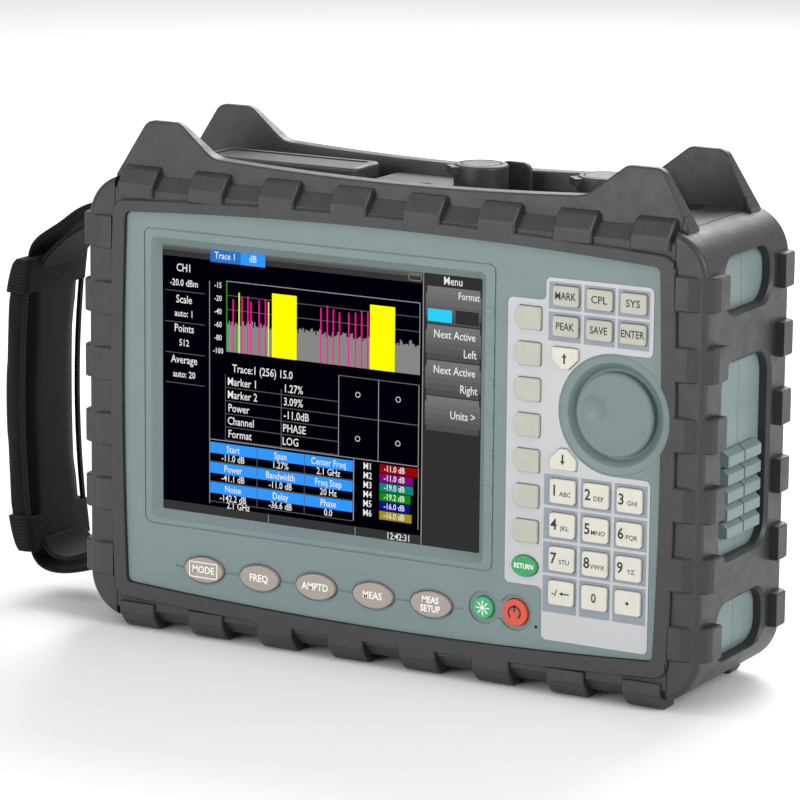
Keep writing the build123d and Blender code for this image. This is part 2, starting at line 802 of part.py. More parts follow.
def anchor_pocket(well, y0, y1):
    """Walls of a strap well, kept to one half of the case, with half of its bar."""
    box = well.bounding_box()
    z = (box.min.Z + box.max.Z) / 2
    outer = brick(-case_w / 2 + wall - 0.1, box.max.X + 2, box.min.Y - 2, box.max.Y + 2,
                  box.min.Z - 2, box.max.Z + 2)
    bar = Pos(-anchor_x, 0, z) * Rot(90, 0, 0) * Cylinder(anchor_r, anchor_span + 1)
    return ((outer - well) + bar) & case_block(y0, y1)


def deck_opening():
    return brick(-deck_hole_w / 2, deck_hole_w / 2, -deck_hole_d / 2, deck_hole_d / 2,
                 case_top_z - 12, case_top_z + 5)


def rear_case():
    back_panel = -panel_y
    body = case_block(seam_y + seam_reveal / 2, -shoulder_y)
    body += raised_panel(-shoulder_y - 1, back_panel, rubber_gap)
    blocks, slots = louvres(seam_y + 0.6, seam_y + 0.6 + louvre_len)
    body += blocks
    body -= case_hollow(seam_y - 1, -shoulder_y - panel_t)
    body -= raised_panel(-shoulder_y - panel_t - 1, back_panel - panel_t, panel_t + rubber_gap)
    body -= slots
    # battery bay
    cz = panel_z + battery_z
    floor_y = battery_bay_y()
    body += slab(tile(battery_w + 2 * bay_wall + 2 * battery_gap,
                      battery_h + 2 * bay_wall + 2 * battery_gap, 3, 0, cz),
                 floor_y - bay_wall, back_panel - 1)
    body -= slab(tile(battery_w + 2 * battery_gap, battery_h + 2 * battery_gap, 2, 0, cz),
                 floor_y, back_panel + 1)
    body -= slab(tile(battery_w + 2 * door_ledge, battery_h + 2 * door_ledge, 3, 0, cz),
                 back_panel - door_t - 0.1, back_panel + 1)
    # well for the folding stand, with a bore each side for its pins
    pivot_z = panel_z + stand_top_z
    low = pivot_z - stand_h
    well_w = stand_w + 2 * stand_gap
    body += brick(-well_w / 2 - stand_pin_len - 4, well_w / 2 + stand_pin_len + 4,
                  back_panel - stand_t - 5.5, back_panel - 1, low - 6, pivot_z + 8)
    body -= brick(-well_w / 2, well_w / 2, back_panel - stand_t - 2.5, back_panel + 1, low - 3,
                  pivot_z + stand_t / 2 + 2.2)
    body -= rod_x(stand_pin_r + stand_pin_clear, -well_w / 2 - stand_pin_len - 0.5,
                  well_w / 2 + stand_pin_len + 0.5, stand_pivot_y(), pivot_z)
    body -= brick(-14, 14, back_panel - stand_t - 2.5, back_panel + 1, low - 4, low)
    # bosses, clearance holes and head seats for the case screws
    for x, z in screw_spots():
        body += rod_y(screw_boss_r, seam_y + 2, -shoulder_y - 1, x, z)
        body -= rod_y(screw_r + screw_clear, seam_y - 1, -shoulder_y + 1, x, z)
        body -= rod_y(screw_head_r + screw_clear, -shoulder_y - screw_head_h - 0.2,
                      -shoulder_y + 1, x, z)
    body -= deck_opening()
    for well in anchor_blocks():
        body -= well
        body += anchor_pocket(well, seam_y + seam_reveal / 2, -shoulder_y)
    return body


def case_screws():
    screws = []
    for x, z in screw_spots():
        seat = -shoulder_y - screw_head_h
        screw = rod_y(screw_r, seam_y - 20, seat + 0.2, x, z)
        screw += rod_y(screw_head_r, seat, -shoulder_y, x, z)
        screw -= slab(Pos(x, z) * RegularPolygon(1.5, 6), -shoulder_y - 1.6, -shoulder_y + 1)
        screws.append(screw)
    return Compound(children=screws)


# ---------------------------------------------------------------- screen stack
def display_window():
    return slab(tile(screen_w + 2 * window_margin, screen_h + 2 * window_margin, 1, screen_x,
                     panel_z + screen_z), window_y + 0.02, window_y + window_t)


def display_module():
    z = panel_z + screen_z
    frame = slab(tile(module_w, module_h, 1.5, screen_x, z), module_y, module_y + module_t)
    frame -= slab(tile(screen_w + 1, screen_h + 1, 0.5, screen_x, z), module_y - 1,
                  module_y + 1.2)
    cell = slab(tile(screen_w + 0.6, screen_h + 0.6, 0.5, screen_x, z), module_y + 0.1,
                module_y + 1.15)
    driver = brick(screen_x - 40, screen_x + 40, module_y + module_t + 0.05,
                   module_y + module_t + 2.2, z - 60, z - 44)
    return Compound(children=[frame, cell, driver])


# ---------------------------------------------------------------- knob, mat and boards
def knob():
    points = []
    for i in range(2 * knob_teeth):
        r = knob_r if i % 2 else knob_r - knob_tooth
        a = radians(i * 180 / knob_teeth)
        points.append((r * cos(a), r * sin(a)))
    face_y = panel_y - knob_proud
    back_y = panel_y + dish_depth - knob_lift
    place = Pos(knob_x, panel_z + knob_z)
    body = slab(place * Polygon(*points, align=None), face_y + 0.9, back_y)
    plain = slab(place * Circle(knob_r - knob_tooth), face_y, face_y + 1.0)
    plain = chamfer(plain.faces().sort_by(Axis.Y)[0].edges(), 0.7)
    body += plain
    ball_r = (dimple_r ** 2 + dimple_depth ** 2) / (2 * dimple_depth)
    body -= Pos(knob_x + dimple_at[0], face_y + dimple_depth - ball_r,
                panel_z + knob_z + dimple_at[1]) * Sphere(ball_r)
    body += rod_y(shaft_r, back_y - 0.5, board_y + board_t + encoder_t - 1.0, knob_x,
                  panel_z + knob_z)
    return body


def keypad_area(inset):
    """The L-shaped area behind the keys, drawn about the panel centre."""
    column = span_tile((board_x[0] + inset, board_x[1] - inset),
                       (board_low_z + inset, board_top_z - inset), 1.5)
    strip = span_tile((strip_x + inset, pad_x), (board_low_z + inset, strip_top_z - inset), 1.5)
    return Pos(0, panel_z) * (column + strip)


def key_mat():
    body = slab(keypad_area(0.5), mat_y, mat_y + mat_t)
    for x, z in board_posts():
        body -= rod_y(post_r + 0.6, mat_y - 1, mat_y + mat_t + 1, x, panel_z + z)
    body -= rod_y(dish_r + 1.6, mat_y - 1, mat_y + mat_t + 1, knob_x, panel_z + knob_z)
    return body


def keypad_board():
    body = slab(keypad_area(0.0), board_y, board_y + board_t)
    x, z = knob_x, panel_z + knob_z
    body -= rod_y(bush_r + bush_clear, board_y - 1, board_y + board_t + 1, x, z)
    end_y = board_y + board_t + encoder_t
    encoder = brick(x - encoder_w / 2, x + encoder_w / 2, board_y + board_t + 0.05, end_y,
                    z - encoder_w / 2, z + encoder_w / 2)
    encoder += rod_y(bush_r, panel_y + dish_depth + 0.4, board_y + board_t + 1, x, z)
    encoder -= rod_y(shaft_r + shaft_clear, panel_y, end_y - 0.6, x, z)
    plug = brick(75, 100, board_y + board_t + 0.05, board_y + board_t + 4, panel_z - 60,
                 panel_z - 54)
    return Compound(children=[body, encoder, plug])


def jack_shell(x, w, d, wall_t, top, depth, hole):
    """A box-shaped socket under the deck, open upwards."""
    shell = brick(x - w / 2, x + w / 2, -d / 2, d / 2, top - depth, top)
    return shell - brick(x - w / 2 + wall_t, x + w / 2 - wall_t, -d / 2 + wall_t, d / 2 - wall_t,
                         top - hole, top + 1)


def main_board():
    """Main board, the small input-output board under the port cover, and their parts."""
    y0, y1 = main_board_y, main_board_y + board_t
    w, h = main_board_w / 2, main_board_h / 2
    board = brick(-w, w, y0, y1, mid_z - h, mid_z + h)
    top = deck_z - 0.2
    io_top = top - lan_h
    io_board = brick(cover_x[0] + 6, cover_x[1] - 2, -18, 18, io_top - board_t, io_top - 0.05)
    solids = [board, io_board]
    for x, z, side in ((-95, 30, 28), (-50, 35, 20), (-100, -25, 24), (-30, -30, 34), (60, -40, 26)):
        solids.append(brick(x - side / 2, x + side / 2, y1 + 0.05, y1 + 2.6,
                            mid_z + z - side / 2, mid_z + z + side / 2))
    solids.append(jack_shell(lan_x, lan_w, lan_d, lan_wall, top, lan_h, lan_hole_h))
    for x in usb_x:
        shell = jack_shell(x, usb_w, usb_d, usb_wall, top, lan_h, 11.0)
        shell += brick(x - 5.6, x + 5.6, 0.2, 1.9, top - 11.5, top - 1.5)
        solids.append(shell)
    dc = rod_z(dc_r, top - lan_h, top, dc_x, 0) - rod_z(dc_r - 1.2, top - 10, top + 1, dc_x, 0)
    solids.append(dc + rod_z(1.0, top - 11, top - 1.5, dc_x, 0))
    link = brick(cover_x[0] + 10, cover_x[0] + 40, y1 + 0.05, -18.1, io_top - 9, io_top - board_t)
    solids.append(link)
    return Compound(children=solids)


def rf_module():
    y0 = main_board_y + board_t + 0.2
    rf_t = battery_bay_y() - bay_wall - rf_bay_gap - y0
    top = case_top_z - 12.2
    x0 = rf_x - rf_w / 2
    body = brick(x0, x0 + rf_w, y0, y0 + rf_t, top - rf_h, top)
    body = fillet(body.edges().filter_by(Axis.Y), 2.0)
    lid = brick(x0 + 3, x0 + rf_w - 3, y0 + rf_t + 0.05, y0 + rf_t + 1.2, top - rf_h + 3, top - 3)
    screws = []
    for i in range(6):
        x = x0 + 8 + i * (rf_w - 16) / 5
        for z in (top - 6, top - rf_h + 6):
            screws.append(rod_y(2.0, y0 + rf_t + 1.25, y0 + rf_t + 2.4, x, z))
    return Compound(children=[body, lid] + screws)


# ---------------------------------------------------------------- connector deck
def cover_mid_x():
    return (cover_x[0] + cover_x[1]) / 2


def cover_bottom_z():
    return deck_z + cover_rise - cover_t


def cover_hinge():
    """The axis of the port cover: y and z of its pin."""
    return cover_d / 2 + hinge_r + 0.4, cover_bottom_z() + hinge_r - 0.6


def hinge_slots():
    """Middle x and half length of the two knuckle pairs on the port cover."""
    return [(cover_mid_x() + s * 24.0, 6.0) for s in (-1, 1)]


def connector_panel():
    w, d = bay_w / 2 - deck_gap, rail_back - deck_gap
    body = brick(-w, w, -d, d, case_top_z + 0.05, deck_z)
    coaming_top = cover_bottom_z() - 0.3
    low_x, high_x = cover_x[0] + 1.5, cover_x[1] - 1.5
    half = cover_d / 2 - 1.5
    body += brick(low_x, high_x, -half, half, deck_z - 0.5, coaming_top)
    body -= brick(low_x + coaming_t, high_x - coaming_t, -half + coaming_t, half - coaming_t,
                  deck_z, coaming_top + 1)
    body += brick(plateau_x[0], plateau_x[1], -plateau_d / 2, plateau_d / 2, deck_z - 0.5,
                  deck_z + plateau_h)
    px, pz = (plateau_x[0] + plateau_x[1]) / 2, deck_z + plateau_h
    body = fillet(body.edges().filter_by(Axis.Z).filter_by_position(
        Axis.Z, deck_z + 1, pz).filter_by_position(Axis.X, plateau_x[0] - 0.1,
                                                   plateau_x[1] + 0.1), 3.0)
    body -= rod_z(jack_r, case_top_z - 1, pz + 1, px + 7, 0)
    # sockets
    body -= brick(lan_x - lan_w / 2 - jack_fit, lan_x + lan_w / 2 + jack_fit,
                  -lan_d / 2 - jack_fit, lan_d / 2 + jack_fit, case_top_z - 1, deck_z + 1)
    for x in usb_x:
        body -= brick(x - usb_w / 2 - jack_fit, x + usb_w / 2 + jack_fit,
                      -usb_d / 2 - jack_fit, usb_d / 2 + jack_fit, case_top_z - 1, deck_z + 1)
    body -= rod_z(dc_r + jack_fit, case_top_z - 1, deck_z + 1, dc_x, 0)
    for x in port_x:
        body -= rod_z(port_tail_r + jack_fit, case_top_z - 1, deck_z + 1, x, 0)
        bracket = slab(tile(bracket_w, 2 * (cap_rise - 1), 4.0,
                            x + 8.5, deck_z), bracket_y, bracket_y + bracket_t)
        body += bracket & brick(x - 30, x + 30, 0, 30, deck_z - 0.5, deck_z + 40)
    # hinge ears behind the coaming
    hy, hz = cover_hinge()
    for x, half_len in hinge_slots():
        for s in (-1, 1):
            ear_x = x + s * (half_len + 2.3)
            ear = brick(ear_x - 2.0, ear_x + 2.0, hy - hinge_r, hy + hinge_r, deck_z - 0.5, hz)
            ear += rod_x(hinge_r, ear_x - 2.0, ear_x + 2.0, hy, hz)
            body += ear - rod_x(hinge_pin_r + hinge_clear, ear_x - 3, ear_x + 3, hy, hz)
    return body


def port_cover():
    """Padded lid over the data sockets, with its hinge knuckles and pins."""
    z0, z1 = cover_bottom_z(), deck_z + cover_rise
    hy, hz = cover_hinge()
    lid = brick(cover_x[0], cover_x[1], -cover_d / 2, cover_d / 2, z0, z1)
    lid = fillet(lid.edges().filter_by(Axis.Z), cover_r)
    lid = fillet(lid.faces().sort_by(Axis.Z)[-1].edges(), 1.6)
    field = brick(cover_x[0] + 5, cover_x[1] - 5, -cover_d / 2 + 4, cover_d / 2 - 4, z1 - 0.6,
                  z1 + 1)
    field = fillet(field.edges().filter_by(Axis.Z), 2.0)
    lid -= field
    for x, half_len in hinge_slots():
        knuckle = rod_x(hinge_r, x - half_len, x + half_len, hy, hz)
        arm = brick(x - half_len, x + half_len, cover_d / 2 - 1.0, hy, hz - 0.4, hz + hinge_r)
        lid += knuckle + arm
        lid += rod_x(hinge_pin_r, x - half_len - 4.0, x + half_len + 4.0, hy, hz)
    return lid


def rf_ports():
    """Two flanged coaxial sockets, each with its centre contact."""
    solids = []
    for x in port_x:
        z1 = deck_z + 0.05 + port_flange_t
        body = brick(x - port_flange / 2, x + port_flange / 2, -port_flange / 2, port_flange / 2,
                     deck_z + 0.05, z1)
        body = fillet(body.edges().filter_by(Axis.Z), 2.5)
        body += rod_z(port_barrel_r, z1 - 0.1, z1 + port_barrel_h, x, 0)
        body += rod_z(port_tail_r, case_top_z - 12.0, deck_z + 0.5, x, 0)
        body -= rod_z(port_bore_r, z1 + port_barrel_h - port_bore_depth, z1 + port_barrel_h + 1,
                      x, 0)
        body += rod_z(port_pin_r, z1, z1 + port_barrel_h - 2, x, 0)
        for sx in (-1, 1):
            for sy in (-1, 1):
                body -= rod_z(1.6, deck_z, z1 + 1, x + sx * 9.1, sy * 9.1)
        solids.append(body)
    return Compound(children=solids)


def port_cap(x):
    """Round push-on cap with a thumb tab at its front left."""
    z0 = deck_z + 0.05 + port_flange_t + 0.3
    z1 = deck_z + cap_rise
    shell = rod_z(cap_r, z0, z1, x, 0)
    shell = fillet(shell.faces().sort_by(Axis.Z)[-1].edges(), 1.5)
    tab = Pos(x, 0, (z1 - 2.4 + z1) / 2 - 1.2) * Rot(0, 0, 225) * Pos(cap_r, 0, 0) * Box(
        2 * cap_tab_out, cap_tab_w, 3.4)
    shell += tab
    shell -= rod_z(port_barrel_r + cap_clear, z0 - 1, z1 - cap_wall_top, x, 0)
    ring = rod_z(cap_r - 3.0, z1 - 0.5, z1 + 1, x, 0) - rod_z(cap_r - 3.7, z1 - 1, z1 + 2, x, 0)
    return shell - ring


# ---------------------------------------------------------------- battery, door and stand
def battery_floor_y():
    return -panel_y - door_t - battery_gap - battery_t


def battery_bay_y():
    """The bay's floor, in front of the battery."""
    return battery_floor_y() - battery_gap


def battery_pack():
    y0 = battery_floor_y()
    body = slab(tile(battery_w, battery_h, 1.8, 0, panel_z + battery_z), y0, y0 + battery_t)
    strap = brick(battery_w / 2 - 24, battery_w / 2 - 16, y0 + battery_t - 0.05,
                  y0 + battery_t + battery_gap - 0.1, panel_z + battery_z - 20,
                  panel_z + battery_z + 20)
    return body + strap


def battery_door():
    y1 = -panel_y
    z = panel_z + battery_z
    w = battery_w + 2 * door_ledge - 2 * door_gap
    h = battery_h + 2 * door_ledge - 2 * door_gap
    door = slab(tile(w, h, 2.7, 0, z), y1 - door_t, y1)
    door = chamfer(door.faces().sort_by(Axis.Y)[-1].edges(), 0.5)
    for i in range(4):
        door -= slab(tile(34, 1.6, 0.7, -54, z - 12 + i * 8), y1 - 0.8, y1 + 1)
    for x in (-w / 2 + 12, w / 2 - 12):
        door -= slab(tile(latch_w, latch_h, 3.0, x, z), y1 - 1.0, y1 + 1)
        door += slab(tile(latch_h - 1.6, latch_h - 1.6, 1.5, x, z), y1 - 1.2, y1)
    return door


def stand_pivot_y():
    return -panel_y - stand_t / 2 - 0.5


def tilt_stand():
    pivot_z = panel_z + stand_top_z
    y1 = stand_pivot_y() + stand_t / 2
    half = stand_w / 2
    body = brick(-half, half, y1 - stand_t, y1, pivot_z - stand_h + 4, pivot_z)
    body = fillet([e for e in body.edges().filter_by(Axis.Y) if e.center().Z < pivot_z - 20], 8.0)
    body += rod_x(stand_t / 2, -half, half, stand_pivot_y(), pivot_z)
    body -= slab(tile(stand_w - 34, stand_h - 34, 5, 0, pivot_z - stand_h / 2 + 2), y1 - 1.4,
                 y1 + 1)
    for i in range(3):
        body += slab(tile(stand_w - 50, 3.0, 1.2, 0, pivot_z - 30 - i * 14), y1 - 2, y1 - 0.4)
    pin = half + stand_gap + stand_pin_len
    body += rod_x(stand_pin_r, -pin, pin, stand_pivot_y(), pivot_z) - brick(
        -half + 1, half - 1, 0, 60, pivot_z - 9, pivot_z + 9)
    return body


# ---------------------------------------------------------------- hand strap
def pad_curve():
    """Middle line of the pad, seen from the front."""
    mid = (strap_top_z + strap_low_z) / 2
    return ThreePointArc(
        (-strap_x + strap_bow, panel_z + strap_top_z), (-strap_x, panel_z + mid),
        (-strap_x + strap_bow, panel_z + strap_low_z))


def strap_pad():
    """Padded sleeve with a flat tunnel for the webbing."""
    outer = Plane.XZ * trace(pad_curve(), pad_t)
    body = extrude(outer, amount=pad_d / 2, both=True)
    body = fillet([e for e in body.edges() if e.length > 20], pad_edge_r)
    tunnel = extrude(Plane.XZ * trace(pad_curve(), web_t + 2 * web_clear),
                     amount=web_w / 2 + web_clear, both=True)
    mouth = Box(web_t + 2 * web_clear, web_w + 2 * web_clear, 6)
    mouths = [Pos(-strap_x + strap_bow, 0, panel_z + z) * mouth
              for z in (strap_top_z, strap_low_z)]
    return body - tunnel - mouths


def strap_webbing():
    """One band: round the upper bar, down through the pad, round the lower bar."""
    top = panel_z + anchor_top_z
    low = panel_z + anchor_low_z
    loop_r = anchor_r + anchor_wrap + web_t / 2
    ends_x = -strap_x + strap_bow
    mid = (strap_top_z + strap_low_z) / 2
    upper = FilletPolyline(
        (-anchor_x, top + loop_r), (-anchor_x - 20, top + loop_r - 1.0),
        (-anchor_x - 38, top - 8), (ends_x + 1.4, panel_z + strap_top_z + 9),
        (ends_x, panel_z + strap_top_z), radius=(14, 12, 6))
    middle = ThreePointArc((ends_x, panel_z + strap_top_z), (-strap_x, panel_z + mid),
                           (ends_x, panel_z + strap_low_z))
    lower = FilletPolyline(
        (ends_x, panel_z + strap_low_z), (ends_x + 1.4, panel_z + strap_low_z - 9),
        (-anchor_x - 34, low - 12), (-anchor_x - 18, low - loop_r - 1.0),
        (-anchor_x, low - loop_r), radius=(6, 10, 10))
    bands = []
    for line in (upper, middle, lower):
        bands.append(Plane.XZ * trace(line, web_t))
    hooks = []
    for z, s in ((top, 1), (low, -1)):
        ring = Circle(loop_r + web_t / 2) - Circle(loop_r - web_t / 2)
        half = ring & Pos(10, 0) * Rectangle(20, 40)
        tail = Pos(-6, -s * loop_r) * Rectangle(12.2, web_t)
        hooks.append(Plane.XZ * Pos(-anchor_x, z) * (half + tail))
    body = None
    for face in bands + hooks:
        piece = extrude(face, amount=web_w / 2, both=True)
        body = piece if body is None else body + piece
    return body


# ---------------------------------------------------------------- build everything
keys = key_table()
for node, shape in split_bumpers(bumper_shell()).items():
    save(shape, node)
for node, outline, x, z, proud in keys:
    save(key_solid(outline, x, z, proud), node)
save(front_case(keys), "front_case")
save(rear_case(), "rear_case")
save(keypad_overlay(keys), "keypad_overlay")
save(case_screws(), "case_screws")
save(display_window(), "display_window")
save(display_module(), "display_module")
save(knob(), "tuning_knob")
save(key_mat(), "key_mat")
save(keypad_board(), "keypad_board")
save(main_board(), "main_board")
save(rf_module(), "rf_module")
save(rf_ports(), "rf_ports")
save(connector_panel(), "connector_panel")
save(port_cover(), "port_cover")
for i, x in enumerate(port_x):
    save(port_cap(x), "port_cap_%d" % (i + 1))
save(battery_pack(), "battery_pack")
save(battery_door(), "battery_door")
save(tilt_stand(), "tilt_stand")
save(strap_pad(), "strap_pad")
save(strap_webbing(), "strap_webbing")
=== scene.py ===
import math
import random

import bmesh
import bpy
from mathutils import Matrix, Vector


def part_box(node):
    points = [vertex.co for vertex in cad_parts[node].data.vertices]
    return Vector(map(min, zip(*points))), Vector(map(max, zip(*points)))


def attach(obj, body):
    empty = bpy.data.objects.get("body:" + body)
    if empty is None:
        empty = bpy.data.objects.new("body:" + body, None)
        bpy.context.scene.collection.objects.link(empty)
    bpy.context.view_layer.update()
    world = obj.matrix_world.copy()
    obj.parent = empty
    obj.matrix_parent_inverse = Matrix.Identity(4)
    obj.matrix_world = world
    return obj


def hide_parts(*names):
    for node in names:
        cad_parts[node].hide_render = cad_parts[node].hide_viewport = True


bl_info = {
    "name": "Portable network analyzer",
    "version": (1, 0, 0),
    "blender": (4, 5, 0),
    "location": "View3D > Sidebar > Analyzer",
    "description": "Finishes, legends, screen picture, strap and stage of a portable network analyzer",
    "category": "Object",
}

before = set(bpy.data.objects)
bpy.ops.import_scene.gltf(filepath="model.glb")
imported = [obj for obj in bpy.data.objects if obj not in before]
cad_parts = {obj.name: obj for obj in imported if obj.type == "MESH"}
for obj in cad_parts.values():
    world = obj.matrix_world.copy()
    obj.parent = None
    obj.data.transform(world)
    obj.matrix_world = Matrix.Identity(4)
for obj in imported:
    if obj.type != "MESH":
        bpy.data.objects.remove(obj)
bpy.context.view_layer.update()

MM = 0.001
BODY = "instrument"

PRINT_DEPTH = 0.02 * MM         # half the thickness of a printed mark
WELD = 1e-6                     # points closer than this become one

window_low, window_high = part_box("display_window")


# ---------------------------------------------------------------- settings
def length(name, text, value):
    return bpy.props.FloatProperty(name=name, description=text, default=value, min=0.0,
                                   unit="LENGTH", precision=5)


def colour(name, text, value):
    return bpy.props.FloatVectorProperty(name=name, description=text, default=value,
                                         min=0.0, max=1.0, size=3, subtype="COLOR")


class AnalyzerColours(bpy.types.PropertyGroup):
    case: colour("Case", "Moulded case and knob dish", (0.160, 0.214, 0.219))
    bumper: colour("Bumper", "Rubber bumpers and rails", (0.0215, 0.022, 0.024))
    deck: colour("Deck", "Connector deck and port cover", (0.030, 0.032, 0.035))
    overlay: colour("Overlay", "Printed film round the keys", (0.475, 0.482, 0.495))
    cell: colour("Cell", "Printed cells behind the keys", (0.235, 0.270, 0.310))
    soft_key: colour("Soft key", "Keys beside the screen and function keys", (0.415, 0.415, 0.355))
    number_key: colour("Number key", "Number and arrow keys", (0.59, 0.58, 0.505))
    menu_key: colour("Menu key", "Oval keys under the screen", (0.325, 0.280, 0.245))
    return_key: colour("Return key", "Green oval key", (0.03, 0.29, 0.10))
    backlight_key: colour("Backlight key", "Green round key", (0.042, 0.36, 0.14))
    power_key: colour("Power key", "Red round key", (0.62, 0.07, 0.03))
    knob: colour("Knob", "Rotary knob", (0.148, 0.192, 0.200))
    ink: colour("Ink", "Dark legends", (0.012, 0.012, 0.014))
    pad: colour("Strap pad", "Neoprene of the strap", (0.0045, 0.0045, 0.0048))
    webbing: colour("Webbing", "Woven band of the strap", (0.0055, 0.0053, 0.0053))


class AnalyzerSizes(bpy.types.PropertyGroup):
    legend_lift: length("Legend lift", "How far a printed legend stands off its key", 0.03 * MM)
    pitch_x: length("Key pitch across", "Distance between key columns", 16.86 * MM)
    cell_gap: length("Cell gap", "Light line between two printed cells", 1.3 * MM)
    picture_lift: length("Picture lift", "Distance between two layers of the picture", 0.03 * MM)
    web_width: length("Webbing width", "Width of the strap's band", 38.0 * MM)
    web_thickness: length("Webbing thickness", "Thickness of the strap's band", 2.0 * MM)
    pad_width: length("Pad width", "Width of the strap's pad", 54.0 * MM)


# ---------------------------------------------------------------- helpers for shapes
def nothing_selected():
    if bpy.context.object and bpy.context.object.mode != "OBJECT":
        bpy.ops.object.mode_set(mode="OBJECT")
    bpy.ops.object.select_all(action="DESELECT")


def only(obj):
    nothing_selected()
    obj.select_set(True)
    bpy.context.view_layer.objects.active = obj
    return obj


def named(name):
    """The object just added, renamed along with its mesh."""
    obj = bpy.context.object
    obj.name = name
    obj.data.name = name
    return obj


def settle(obj):
    """Puts the object's place into its mesh."""
    only(obj)
    bpy.ops.object.transform_apply(location=True, rotation=True, scale=True)
    return obj


def apply_all(obj):
    only(obj)
    for modifier in list(obj.modifiers):
        bpy.ops.object.modifier_apply(modifier=modifier.name)
    return obj


def joined(parts, name):
    nothing_selected()
    for part in parts:
        part.select_set(True)
    bpy.context.view_layer.objects.active = parts[0]
    if len(parts) > 1:
        bpy.ops.object.join()
    return named(name)


def open_mesh(obj):
    """Edit mode with the whole mesh selected."""
    only(obj)
    bpy.ops.object.mode_set(mode="EDIT")
    bpy.ops.mesh.select_all(action="SELECT")


def close_mesh():
    bpy.ops.object.mode_set(mode="OBJECT")


def face_outwards(obj):
    open_mesh(obj)
    bpy.ops.mesh.normals_make_consistent(inside=False)
    close_mesh()


def add_bevel(obj, width, degrees=30.0):
    """Two-step bevel, not yet applied, on the edges sharper than the angle."""
    edge = obj.modifiers.new("edge", "BEVEL")
    edge.width = width
    edge.segments = 2
    edge.limit_method = "ANGLE"
    edge.angle_limit = math.radians(degrees)


def select_edges(obj, test):
    """In edit mode: selects the edges whose two ends pass the test."""
    bpy.ops.mesh.select_mode(type="EDGE")
    bpy.ops.mesh.select_all(action="DESELECT")
    mesh = bmesh.from_edit_mesh(obj.data)
    for edge in mesh.edges:
        edge.select_set(test(edge.verts[0].co, edge.verts[1].co))
    bmesh.update_edit_mesh(obj.data)


def smooth(obj, degrees=35.0):
    only(obj)
    bpy.ops.object.shade_smooth_by_angle(angle=math.radians(degrees))
    return obj


def give(obj, material, body=BODY):
    """Material slot and body of a finished piece."""
    if material is not None:
        obj.data.materials.clear()
        obj.data.materials.append(material)
    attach(obj, body)
    return obj


